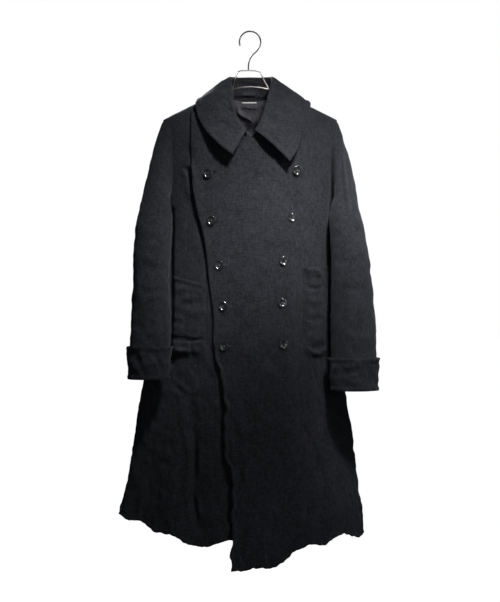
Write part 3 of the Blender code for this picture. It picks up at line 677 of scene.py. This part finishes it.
# Sleeves and cuffs
# Each sleeve is a tube of the same wool, set into its armhole, that bends a little at
# the elbow. Its cuff is a band of the cloth turned back, and held only at the bottom.
SLEEVE_WOOL = wool("sleeve_wool", weave_turn=0.05)
SLEEVE_FELT = ((0.8, 80, 11), (0.4, 34, 12), (0.16, 16, 13))
CUFF_FELT = ((0.7, 30, 14),)
CUFF_ROLL = Roll(1.1, 4, 4, 0.7, 12, 3)
BEHIND_SHIFT = (0, 0, 41)
Axis = namedtuple("Axis", "z x y")
RIGHT_AXIS = (Axis(-900, -240, -64), Axis(-835, -240, -61), Axis(-640, -235, -50),
              Axis(-455, -227, -39), Axis(-325, -222, -6), Axis(-200, -205, 0))
LEFT_AXIS = (Axis(-900, 247, -60), Axis(-862, 247, -58), Axis(-640, 242, -48),
             Axis(-455, 228, -39), Axis(-325, 226, -6), Axis(-200, 207, 0))
RIGHT_SLEEVE_CREASES = (
    (-264, -558, -233, -577, -195, -573, -2, 9),
    (-262, -620, -228, -630, -190, -613, -2.2, 8),
    (-250, -487, -219, -506, -190, -501, -1.8, 9),
    (-233, -672, -238, -715, -252, -756, -1.8, 10),
    (-204, -240, -200, -270, -190, -305, 2.6, 4.5),
    (-210, -290, -220, -370, -232, -452, 1.5, 7),
    (-240, -339, -252, -411, -258, -470, -1.6, 10),
    (-270, -520, -262, -590, -268, -660, 1.6, 11),
    (-200, -640, -206, -700, -198, -752, -1.5, 10),
    (-276, -700, -250, -716, -222, -708, -1.4, 8),
)
LEFT_SLEEVE_CREASES = (
    (197, -542, 233, -558, 271, -549, -2, 9),
    (200, -606, 233, -625, 281, -611, -2.2, 8),
    (217, -250, 227, -365, 242, -515, 3.2, 4.5),
    (212, -330, 222, -397, 226, -462, -1.4, 10),
    (243, -649, 252, -708, 243, -772, -1.8, 11),
    (276, -470, 284, -560, 280, -650, 1.8, 12),
    (210, -660, 214, -720, 206, -780, -1.5, 10),
    (290, -700, 262, -722, 232, -712, -1.5, 9),
    (288, -760, 262, -774, 236, -768, -1.2, 8),
)
RIGHT_CUFF_CREASES = (
    (-276, -768, -258, -800, -244, -836, -4.4, 5),
    (-230, -768, -216, -792, -206, -826, -3.2, 5),
    (-236, -784, -236, -806, -230, -830, 1.8, 7),
    (-278, -800, -262, -818, -258, -838, 1.6, 6),
)
LEFT_CUFF_CREASES = (
    (196, -812, 226, -818, 262, -812, -1.6, 7),
    (290, -796, 282, -826, 274, -856, -2, 7),
    (214, -830, 240, -842, 268, -840, 1.2, 8),
)


def out_of_sleeve(points, axis):
    """The way out of a sleeve, from the line down its middle."""
    z, x, y = np.array(axis).T
    way = np.zeros_like(points)
    way[:, 0] = points[:, 0] - np.interp(points[:, 2], z, x)
    way[:, 1] = points[:, 1] - np.interp(points[:, 2], z, y)
    return way / np.maximum(np.linalg.norm(way, axis=1), 8)[:, None]


def sleeve_relief(points, out, creases):
    """Creases across the sleeve's front, others behind it, and the felt's lumps."""
    front = np.clip(-out[:, 1] * 1.7, 0, 1)
    behind = np.clip(out[:, 1] * 1.7, 0, 1)
    relief = front * crease_height(points, creases) + felt(points, SLEEVE_FELT)
    return relief + behind * crease_height(points + BEHIND_SHIFT, creases)


def shape_sleeve(mesh, axis, creases):
    """Creases a sleeve below its armhole, and sinks the seam there."""
    points, ways = read_points(mesh)
    rim = points[rim_points(mesh)]
    seam = distance_to(points, rim[rim[:, 2] > UNDERARM - 6])
    out = out_of_sleeve(points, axis)
    relief = sleeve_relief(points, out, creases) * ease(HELD, FREED, seam)
    sink = SEAM_SINK * hump(seam, 0, SEAM_WIDTH)
    write_points(mesh, points + out * relief[:, None] - ways * sink[:, None])


def shape_cuff(mesh, axis, creases, cuff_creases):
    """Creases a cuff with its sleeve and on its own, and rolls its edges."""
    points, ways = read_points(mesh)
    edge = distance_to(points, points[rim_points(mesh)])
    out = out_of_sleeve(points, axis)
    outside = outer_face(ways, out)
    own = np.maximum(crease_height(points, cuff_creases) + felt(points, CUFF_FELT), -1.8)
    relief = sleeve_relief(points, out, creases) + np.where(outside, 1.0, 0.3) * own
    roll = np.where(outside, roll_height(edge, CUFF_ROLL), 0)
    write_points(mesh, points + out * relief[:, None] + ways * roll[:, None])


Cut = namedtuple("Cut", "width length area")
for side, axis, creases, cuff_creases, front_edge, front in (
        ("right", RIGHT_AXIS, RIGHT_SLEEVE_CREASES, RIGHT_CUFF_CREASES, RIGHT_EDGE, right_front),
        ("left", LEFT_AXIS, LEFT_SLEEVE_CREASES, LEFT_CUFF_CREASES, LEFT_EDGE, left_front)):
    sleeve_mesh = dense_copy("sleeve_" + side, 3)
    shape_sleeve(sleeve_mesh, axis, creases)
    close_seam(sleeve_mesh, lambda spots: out_of_sleeve(spots, axis), [BACK_EDGE, front_edge])
    sleeve = dress(side + "_sleeve", sleeve_mesh, SLEEVE_WOOL, "wool", "sleeve_" + side)
    round_edges(sleeve)
    cuff_mesh = dense_copy("cuff_" + side, 3)
    shape_cuff(cuff_mesh, axis, creases, cuff_creases)
    cuff = dress(side + "_cuff", cuff_mesh, SLEEVE_WOOL, "wool", "cuff_" + side)
    round_edges(cuff)


# Collar
# A wide collar of two layers of the wool, felted together, stands at the back of the
# neck and turns down over the shoulders. Its outer edge is thick and a little wavy.
COLLAR_WOOL = wool("collar_wool", weave_turn=0.5)
COLLAR_MIDDLE = np.array([0, 6, -235])
COLLAR_CREASES = (
    (-84, -161, -58, -187, -26, -208, -3.6, 5),
    (-100, -196, -72, -224, -36, -250, -1.6, 9),
    (-72, -152, -48, -170, -28, -194, 2.2, 6),
    (-112, -208, -84, -246, -52, -282, 1.6, 10),
    (52, -236, 78, -214, 108, -200, -2.2, 6),
    (58, -196, 88, -184, 112, -188, 1.4, 9),
    (92, -262, 104, -236, 114, -206, -1.4, 8),
    (40, -190, 30, -214, 16, -236, 1.2, 7),
    (128, -215, 116, -250, 98, -289, 2.8, 4),
)
COLLAR_FELT = ((0.9, 70, 21), (0.45, 30, 22), (0.18, 15, 23))
COLLAR_ROLL = Roll(1.6, 4.5, 4, 1.2, 13, 3.6)
NECK_SEAM = ((0, -256), (22, -246), (45, -211), (66, -170), (78, -144))
NECK_RADIUS = 80
COLLAR_HELD = (1, 24)
LEAF_LIFT, LEAF_CURLS, LEAF_REACH = 3.0, (-190, -290), 46
NECK_OPENS, OPENS_BELOW, OPENS_ABOVE = 9.0, (-150, -176), (-242, -224)


def out_of_collar(points):
    """The way out of the collar, from a point inside the neck."""
    out = points - COLLAR_MIDDLE
    return out / np.linalg.norm(out, axis=1)[:, None]


def on_neck_seam(rim):
    """Which rim points of the collar are sewn to the neck, in front and behind."""
    x, y, z = rim.T
    across = np.abs(x)
    front = (y < 0) & (across < 79) & (np.hypot(x, y + 6) < NECK_RADIUS)
    front &= np.abs(z - read_table(across, NECK_SEAM)) < 8
    return front | (y >= 0) & (z > -175) & (np.hypot(x, y + 14) < NECK_RADIUS + 2)


def shape_collar(mesh):
    """Bellies the fall, curls the leaves' edges forward, and thickens them."""
    points, ways = read_points(mesh)
    x, y, z = points.T
    rim = points[rim_points(mesh)]
    sewn = on_neck_seam(rim)
    hold = ease(*COLLAR_HELD, distance_to(points, rim[sewn]))
    edge = distance_to(points, rim[~sewn])
    front = np.clip(-y / 40, 0, 1)
    relief = felt(points, COLLAR_FELT) + front * crease_height(points, COLLAR_CREASES)
    moved = points + out_of_collar(points) * (relief * hold)[:, None]
    moved += ways * (roll_height(edge, COLLAR_ROLL) * hold)[:, None]
    curl = LEAF_LIFT * front * (0.4 + 0.6 * ease(*LEAF_CURLS, z))
    curl *= ease(LEAF_REACH, 0, edge) * (1 + 0.1 * np.sin(x / 17 + z / 21))
    curl *= 1 - 0.9 * ease(94, 108, x)
    moved[:, 1] -= curl * hold
    beside_neck = ease(*OPENS_BELOW, z) * ease(*OPENS_ABOVE, z)
    beside_neck *= ease(-66, -22, x) * (x < 0) * front
    moved[:, 0] -= NECK_OPENS * beside_neck
    write_points(mesh, moved)


collar_mesh = dense_copy("collar", 2)
shape_collar(collar_mesh)
collar = dress("collar_piece", collar_mesh, COLLAR_WOOL, "collar_wool", "collar")
round_edges(collar, 1.3)


# Neck lining, label and hanging loop
# Inside the neck shows a yoke of dark satin with a soft fold, a blank woven label with
# a pale upper edge, and a loop of tape that the coat can be hung by.
SATIN_DARK = (0.027, 0.0265, 0.031)
SATIN_LIGHT = (0.058, 0.057, 0.066)
LINING_FOLDS = (
    (-30, -218, -8, -229, 6, -226, 2.4, 5),
    (-20, -232, -2, -246, 8, -268, 3.2, 5),
    (28, -186, 19, -216, 26, -250, 3.4, 5),
    (-44, -190, -38, -226, -30, -270, 3, 5),
    (10, -196, 14, -226, 4, -262, 2, 5),
    (-20, -176, -4, -182, 6, -190, 2.8, 3),
)
PLEAT_LINE = ((-34, -190), (-29, -196), (-18, -205), (-6, -210), (6, -217))
PLEAT_HEIGHT = 9.0
LINING_BELLY, BELLY_TOP, BELLY_FOOT = 12.0, (-146, -184), (-240, -214)
LABEL_STANDS, LABEL_RAISE = 0.9, 4.0
LABEL_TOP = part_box("neck_label")[1].z / MM + LABEL_RAISE
LOOP_SPREAD = 1.3


def pleat_height(points):
    """One sharp pleat: it swells from above, drops at its edge, and shades what is below."""
    x, _, z = points.T
    above = z - read_table(x, PLEAT_LINE)
    ends = ease(-34, -27, x) * ease(7, -2, x)
    swell = PLEAT_HEIGHT * np.exp(-np.maximum(above, 0) / 9) * ease(-1.6, 0.2, above)
    return ends * (swell - 1.5 * hump(above, -3, 2.2))


def belly(points):
    """How far the lining bellies forward between the leaves of the collar."""
    x, _, z = points.T
    down = ease(*BELLY_TOP, z) * ease(*BELLY_FOOT, z)
    return LINING_BELLY * down * ease(60, 32, -x) * ease(60, 40, x)


def satin():
    """Smooth lining satin: fine crossed threads, and a soft, stretched sheen."""
    cloth, tree, shader, place = start_material("lining_satin", {
        "Roughness": 0.62, "Specular IOR Level": 0.22})
    threads = add_noise(tree, stretched(tree, place, (1, 1, 0.12)), 1300)
    shade = add_noise(tree, place, 34)
    set_inputs(tree, shader, {
        "Base Color": add_ramp(tree, shade, 0.3, SATIN_DARK, 0.7, SATIN_LIGHT),
        "Normal": add_bump(tree, threads, 0.25, 0.0003)})
    return cloth


def woven_label():
    """A dark woven label: crossed threads, and a pale band along its upper edge."""
    cloth, tree, shader, place = start_material("label_weave", {"Roughness": 0.7})
    parts = add_node(tree, "SeparateXYZ", {"Vector": place})
    band = add_node(tree, "MapRange", {
        "Value": parts.outputs["Z"],
        "From Min": (LABEL_TOP - 3.3) * MM, "From Max": (LABEL_TOP - 2.7) * MM})
    weave = add_node(tree, "TexBrick", {
        "Vector": place, "Scale": 900, "Color1": (0.030, 0.030, 0.034, 1),
        "Color2": (0.046, 0.046, 0.051, 1), "Mortar": (0.024, 0.024, 0.027, 1)})
    pale = add_node(tree, "Mix", {
        "Factor": band.outputs["Result"], "A": weave.outputs["Color"],
        "B": (0.62, 0.60, 0.54, 1)}, data_type="RGBA")
    set_inputs(tree, shader, {
        "Base Color": pale.outputs["Result"],
        "Normal": add_bump(tree, weave.outputs["Fac"], 0.3, 0.0004)})
    return cloth


def loop_tape_painted_edge_shade():
    """Grey cotton tape with ribs along it; a near-black band is painted along its top and bottom
    edges as shade.
    """
    cloth, tree, shader, place = start_material("loop_tape_painted_edge_shade", {"Roughness": 0.8})
    low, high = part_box("hanging_loop")
    parts = add_node(tree, "SeparateXYZ", {"Vector": place})
    off = add_node(tree, "Math", {
        0: parts.outputs["Z"], 1: (low.z + high.z) / 2}, operation="SUBTRACT")
    size = add_node(tree, "Math", {0: off.outputs["Value"]}, operation="ABSOLUTE")
    # Painted shade: towards its top and bottom edges the tape's colour goes near black.
    edge = add_node(tree, "MapRange", {
        "Value": size.outputs["Value"],
        "From Min": 0.22 * (high.z - low.z), "From Max": 0.32 * (high.z - low.z)})
    tone = add_node(tree, "Mix", {
        "Factor": edge.outputs["Result"], "A": (0.034, 0.035, 0.040, 1),
        "B": (0.003, 0.003, 0.0035, 1)}, data_type="RGBA")
    set_inputs(tree, shader, {
        "Base Color": tone.outputs["Result"],
        "Normal": add_bump(tree, add_noise(tree, place, 1100), 0.4, 0.0004)})
    return cloth


def lining_stand(points):
    """How far the lining and what is sewn to it stand out: folds, and a belly."""
    return np.abs(crease_height(points, LINING_FOLDS)) + belly(points)


lining_mesh = dense_copy("neck_lining", 4)
lining_points, _ = read_points(lining_mesh)
lining_relief = 0.25 + 0.25 * felt_waves(lining_points, 22, 31)
lining_points[:, 1] -= (lining_stand(lining_points) + pleat_height(lining_points)
                        + lining_relief)
write_points(lining_mesh, lining_points)
neck_yoke = dress("neck_yoke", lining_mesh, satin(), "satin", "neck_lining")

label_mesh = dense_copy("neck_label", 2)
label_points, _ = read_points(label_mesh)
label_points[:, 2] += LABEL_RAISE
label_points[:, 1] -= lining_stand(label_points) + LABEL_STANDS
write_points(label_mesh, label_points)
blank_label = dress("blank_label", label_mesh, woven_label(), "label", "neck_label")

loop_mesh = dense_copy("hanging_loop", 2)
loop_points, _ = read_points(loop_mesh)
loop_points[:, 0] *= LOOP_SPREAD
write_points(loop_mesh, loop_points)
hanger_loop = dress("hanger_loop", loop_mesh, loop_tape_painted_edge_shade(), "wool", "hanging_loop")


# Pockets
# Two patch pockets of the wool are sewn on at the hips. Their mouths are turned and
# stand a little open, and their bottoms sag.
POCKET_CREASES = (
    (132, -584, 152, -579, 176, -590, 4.5, 9),
    (128, -606, 150, -622, 182, -612, -4, 6),
    (130, -640, 156, -652, 178, -646, 3, 12),
    (130, -684, 148, -696, 180, -690, -3.4, 6),
    (136, -724, 150, -738, 176, -730, 3, 13),
    (132, -762, 156, -778, 186, -764, 3.8, 7),
    (-196, -736, -152, -745, -108, -741, -4.2, 5),
    (-188, -640, -150, -655, -112, -646, -1.4, 8),
    (-192, -760, -162, -771, -126, -764, 4.6, 8),
    (-194, -690, -168, -704, -120, -698, -1.3, 9),
    (-188, -610, -170, -622, -150, -616, 2, 8),
)
POCKET_ROLL = Roll(1.2, 5, 4, 0.8, 14, 3.5)
POCKET_SINK, POCKET_SEAM = 3.4, 7
LOWER_CORNER, UPPER_CORNER = 24, 13


def round_corners(points, low, high):
    """Rounds the corners of a pocket, seen from the front: the lower ones more."""
    for x, z, radius in ((low.x, low.z, LOWER_CORNER), (high.x, low.z, LOWER_CORNER),
                         (low.x, high.z, UPPER_CORNER)):
        middle = np.array([x + math.copysign(radius, (low.x + high.x) / 2 - x),
                           z + math.copysign(radius, (low.z + high.z) / 2 - z)])
        off = points[:, [0, 2]] - middle
        beyond = (off[:, 0] * (x - middle[0]) > 0) & (off[:, 1] * (z - middle[1]) > 0)
        size = np.maximum(np.linalg.norm(off, axis=1), 0.01)
        shrink = np.where(beyond, np.abs(off).max(axis=1) / size, 1)
        points[:, [0, 2]] = middle + off * shrink[:, None]
    return points


def shape_pocket(mesh, mouth, low, high):
    """Creases a pocket with its front and on its own, and sinks where it is sewn."""
    points, ways = read_points(mesh)
    points = round_corners(points, low, high)
    rim = points[rim_points(mesh)]
    out = out_of_body(points)
    outside = outer_face(ways, out)
    sewn = distance_to(points, rim[rim[:, 2] <= mouth])
    turned = distance_to(points, rim[rim[:, 2] > mouth])
    own = crease_height(points, POCKET_CREASES) + 0.5 * felt_waves(points, 30, 41)
    own = own * ease(0, 10, sewn) - POCKET_SINK * hump(sewn, 0, POCKET_SEAM)
    relief = body_relief(points, FRONT_CREASES) + np.where(outside, own, 0)
    roll = np.where(outside, roll_height(turned, POCKET_ROLL) * ease(0, 8, sewn), 0)
    moved = points + out * relief[:, None] + ways * roll[:, None]
    moved[:, 1] += side_groove(points)
    write_points(mesh, moved)


for side, mouth, front in (("right", -622, right_front), ("left", -576, left_front)):
    pocket_mesh = dense_copy("pocket_" + side, 3)
    low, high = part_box("pocket_" + side)
    shape_pocket(pocket_mesh, mouth, low / MM, high / MM)
    pocket = dress(side + "_pocket", pocket_mesh, WOOL, "wool", "pocket_" + side)
    round_edges(pocket)


# Buttons
# Ten four-hole buttons of polished black horn, 22 mm across, dished inside a thick rim.
# Each is sewn on flat with two crossed stitches of black thread.
BUTTON_PROFILE = (
    (0.0, 0.0), (7.0, 0.0), (9.6, 0.25), (10.7, 1.1), (11.0, 2.1), (10.75, 3.1), (10.1, 3.75),
    (9.2, 3.95), (8.4, 3.7), (7.7, 3.0), (6.9, 2.55), (5.6, 2.3), (3.6, 2.15), (0.0, 2.1),
)
HOLE_OUT, HOLE_RADIUS = 2.35, 0.95
THREAD, THREADS_APART = 0.42, 0.64
DRILL_HEIGHT, DRILL_DEPTH = 1.5, 6
STITCH_START, STITCH_MIDDLE, STITCH_FLATTER = 0.6, 1.6, 0.75
BUTTON_TWIST, INNER_TWIST = 0.35, 0.5


def horn():
    """Polished black horn: faint cloudy streaks under a clear gloss."""
    gloss, tree, shader, place = start_material("black_horn", {
        "Roughness": 0.20, "Coat Weight": 1.0, "Coat IOR": 2.1, "Coat Roughness": 0.21})
    streaks = add_noise(tree, stretched(tree, place, (1, 1, 0.35)), 240, 4)
    set_inputs(tree, shader, {"Base Color": add_ramp(
        tree, streaks, 0.4, (0.008, 0.008, 0.009), 0.75, (0.038, 0.037, 0.038))})
    return gloss


def thread(name, color):
    """Waxed sewing thread, with its twist as fine slanting ribs, and painted shade that darkens
    the ribs' grooves.
    """
    cotton, tree, shader, place = start_material(name, {"Roughness": 0.6})
    turned = stretched(tree, place, turn=0.6)
    ribs = add_node(tree, "TexWave", {"Vector": turned, "Scale": 700}).outputs["Fac"]
    # Painted shade: the colour falls to under half in the grooves of the same ribs that make the
    # relief.
    painted_groove_shade = [value * 0.45 for value in color]
    set_inputs(tree, shader, {
        "Base Color": add_ramp(tree, ribs, 0, painted_groove_shade, 1, color),
        "Normal": add_bump(tree, ribs, 0.5, 0.0002)})
    return cotton


def turned_button():
    """One button about the Z axis, with its four holes cut through."""
    bm = bmesh.new()
    knots = [bm.verts.new((out * MM, 0, high * MM)) for out, high in BUTTON_PROFILE]
    for low, high in zip(knots, knots[1:]):
        bm.edges.new((low, high))
    bmesh.ops.spin(bm, geom=bm.verts[:] + bm.edges[:], axis=(0, 0, 1), cent=(0, 0, 0),
                   angle=math.tau, steps=40, use_merge=True)
    bmesh.ops.remove_doubles(bm, verts=bm.verts, dist=0.001 * MM)
    bmesh.ops.recalc_face_normals(bm, faces=bm.faces)
    blank = place_object("button_blank", finish_mesh(bm, "button_body"))
    bm = bmesh.new()
    for corner in range(4):
        around = math.radians(45 + 90 * corner)
        place = Matrix.Translation((math.cos(around) * HOLE_OUT * MM,
                                    math.sin(around) * HOLE_OUT * MM, DRILL_HEIGHT * MM))
        bmesh.ops.create_cone(bm, cap_ends=True, segments=16, radius1=HOLE_RADIUS * MM,
                              radius2=HOLE_RADIUS * MM, depth=DRILL_DEPTH * MM, matrix=place)
    drill = place_object("button_drill", finish_mesh(bm, "button_holes"))
    cut = blank.modifiers.new("holes", "BOOLEAN")
    cut.object = drill
    cut.operation = "DIFFERENCE"
    cut.solver = "EXACT"
    button = baked_mesh(blank)
    bpy.data.objects.remove(drill)
    return button


def button_stitches():
    """Two crossed stitches that rise out of the holes and go down again."""
    bm = bmesh.new()
    for turn in (45, 135):
        for beside in (-THREADS_APART / 2, THREADS_APART / 2):
            ring = bmesh.ops.create_circle(bm, segments=8, radius=THREAD * MM)["verts"]
            across = Vector((math.cos(math.radians(turn)), math.sin(math.radians(turn)), 0))
            along = Vector((-across.y, across.x, 0))
            upright = Matrix.Rotation(math.radians(turn), 4, "Z")
            bmesh.ops.transform(bm, matrix=upright, verts=ring)
            start = (across * -HOLE_OUT + along * beside) * MM
            start.z = STITCH_START * MM
            bmesh.ops.translate(bm, verts=ring, vec=start)
            centre = start + across * HOLE_OUT * MM
            centre.z = STITCH_MIDDLE * MM
            edges = list({edge for vert in ring for edge in vert.link_edges})
            bmesh.ops.spin(bm, geom=edges + ring, cent=centre, axis=along,
                           angle=math.radians(180), steps=10, use_merge=False)
            bmesh.ops.scale(bm, vec=(1, 1, STITCH_FLATTER), verts=ring,
                            space=Matrix.Translation(-centre))
    bmesh.ops.holes_fill(bm, edges=[edge for edge in bm.edges if edge.is_boundary], sides=0)
    bmesh.ops.recalc_face_normals(bm, faces=bm.faces)
    return finish_mesh(bm, "button_thread")


def cad_button_pose(node):
    """The middle of a CAD button's back, and the turn that makes Z the way it faces."""
    places, _ = read_points(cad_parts[node].data)
    middle = places.mean(axis=0)
    spread = places - middle
    facing = np.linalg.eigh(spread.T @ spread)[1][:, 0]
    facing = facing if facing[1] < 0 else -facing
    centre = (places.min(axis=0) + places.max(axis=0)) / 2
    centre += facing * ((spread @ facing).min() - (centre - middle) @ facing)
    return Vector(centre), Vector(facing).to_track_quat("Z", "Y").to_matrix().to_4x4()


HORN = horn()
BLACK_THREAD = thread("black_thread", (0.030, 0.030, 0.033))
button_mesh = turned_button()
stitch_mesh = button_stitches()
button_places = {}
front_trim = []
for number in range(1, 6):
    for column, turned in (("outer", 0), ("inner", INNER_TWIST)):
        node = f"button_{number}_{column}"
        centre, turn = cad_button_pose(node)
        spot = np.array([[centre.x, centre.y, centre.z]])
        rise = float(body_relief(spot, FRONT_CREASES)[0])
        centre += Vector(out_of_body(spot)[0]) * rise
        twist = Matrix.Rotation(BUTTON_TWIST * number + turned, 4, "Z")
        place = Matrix.Translation(centre * MM) @ turn @ twist
        button_places[node] = (centre, turn)
        mesh = button_mesh.copy()
        mesh.transform(place)
        button = dress(node + "_horn", mesh, HORN, "horn", node)
        mesh.set_sharp_from_angle(angle=math.radians(35))
        mesh = stitch_mesh.copy()
        mesh.transform(place)
        front_trim += [button, dress(node + "_thread", mesh, BLACK_THREAD, "horn")]


# Buttonholes
# Each outer button passes through a hole worked in grey thread in the front that laps
# over: a slit with a round eye, bound by close stitches that lie a little proud.
BINDING = 0.75
STITCHES_ROUND = 60
STITCH_DEEP = 0.55
Hole = namedtuple("Hole", "turn shift half eye")
HOLES = (Hole(0.12, 0.6, 19.5, 12.6), Hole(0.05, 5.0, 14.5, 2.6), Hole(0.10, 4.5, 14.0, 2.2),
         Hole(-0.04, 5.0, 15.0, 2.6), Hole(0.08, 4.5, 14.0, 2.2))


def bound_hole(half, eye):
    """A ring of stitches in the XY plane, about a slit that runs along X."""
    outline = []
    for step in range(STITCHES_ROUND):
        turn = math.tau * step / STITCHES_ROUND
        outline.append(Vector((half * math.cos(turn) ** 3 * 0.45 + half * math.cos(turn) * 0.55,
                               eye * math.sin(turn), 0)))
    bm = bmesh.new()
    up = Vector((0, 0, 1))
    size = Matrix.Diagonal((BINDING * 1.5, BINDING * 0.62, BINDING, 1))
    for step, spot in enumerate(outline):
        run = (outline[(step + 1) % STITCHES_ROUND] - outline[step - 1]).normalized()
        upright = Matrix((run.cross(up), run, up)).transposed().to_4x4()
        lean = Matrix.Rotation(0.25 * math.sin(step * 2.3), 4, "Z")
        place = Matrix.Translation(spot) @ upright @ lean @ size
        bmesh.ops.create_uvsphere(bm, u_segments=8, v_segments=5, radius=1.0, matrix=place)
    return finish_mesh(bm, "bound_hole")


HOLE_THREAD = thread("buttonhole_thread", (0.012, 0.012, 0.014))
for number, hole in enumerate(HOLES, 1):
    centre, turn = button_places[f"button_{number}_outer"]
    slide = Matrix.Translation((hole.shift, 0, -STITCH_DEEP))
    place = (Matrix.Scale(MM, 4) @ Matrix.Translation(centre) @ turn @ slide
             @ Matrix.Rotation(hole.turn, 4, "Z"))
    mesh = bound_hole(hole.half, hole.eye)
    mesh.transform(place)
    front_trim.append(dress(f"buttonhole_{number}", mesh, HOLE_THREAD, "wool"))


# Hanger
# The thin wire hanger has a plated hook with a warm tint, a small frame that stands in
# the neck, and an arm under each shoulder. Its CAD wires are kept. The same plating is
# painted darker on the hook, as shade, and brighter on the frame, as light.
DULL_PLATE = (0.44, 0.37, 0.33)
BRIGHT_PLATE = (0.70, 0.65, 0.62)


def plated_wire(name, painted_light_scale):
    """Bright plating with a copper tint, faint drawing lines, and duller patches; all its
    colours are scaled by a given amount, which paints light on the wire above one and shade
    below one.
    """
    plate, tree, shader, place = start_material(name, {"Metallic": 1.0})
    patches = add_noise(tree, place, 60, 5)
    dull = [value * painted_light_scale for value in DULL_PLATE]
    bright = [value * painted_light_scale for value in BRIGHT_PLATE]
    rough = add_node(tree, "MapRange", {"Value": patches, "To Min": 0.26, "To Max": 0.38})
    set_inputs(tree, shader, {
        "Base Color": add_ramp(tree, patches, 0.35, dull, 0.6, bright),
        "Roughness": rough.outputs["Result"],
        "Normal": add_bump(tree, add_noise(tree, place, 1500), 0.12, 0.0001)})
    return plate


# Painted light and shade: the hook's copy of the plating is made darker and the frame's brighter
# than the arms'.
for node, painted_light_scale in (("hanger_hook", 0.7), ("hanger_frame", 1.3), ("hanger_arms", 1.0)):
    wire_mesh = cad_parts[node].data
    wire_mesh.materials.clear()
    wire_mesh.materials.append(plated_wire(node + "_plate_painted_light", painted_light_scale))
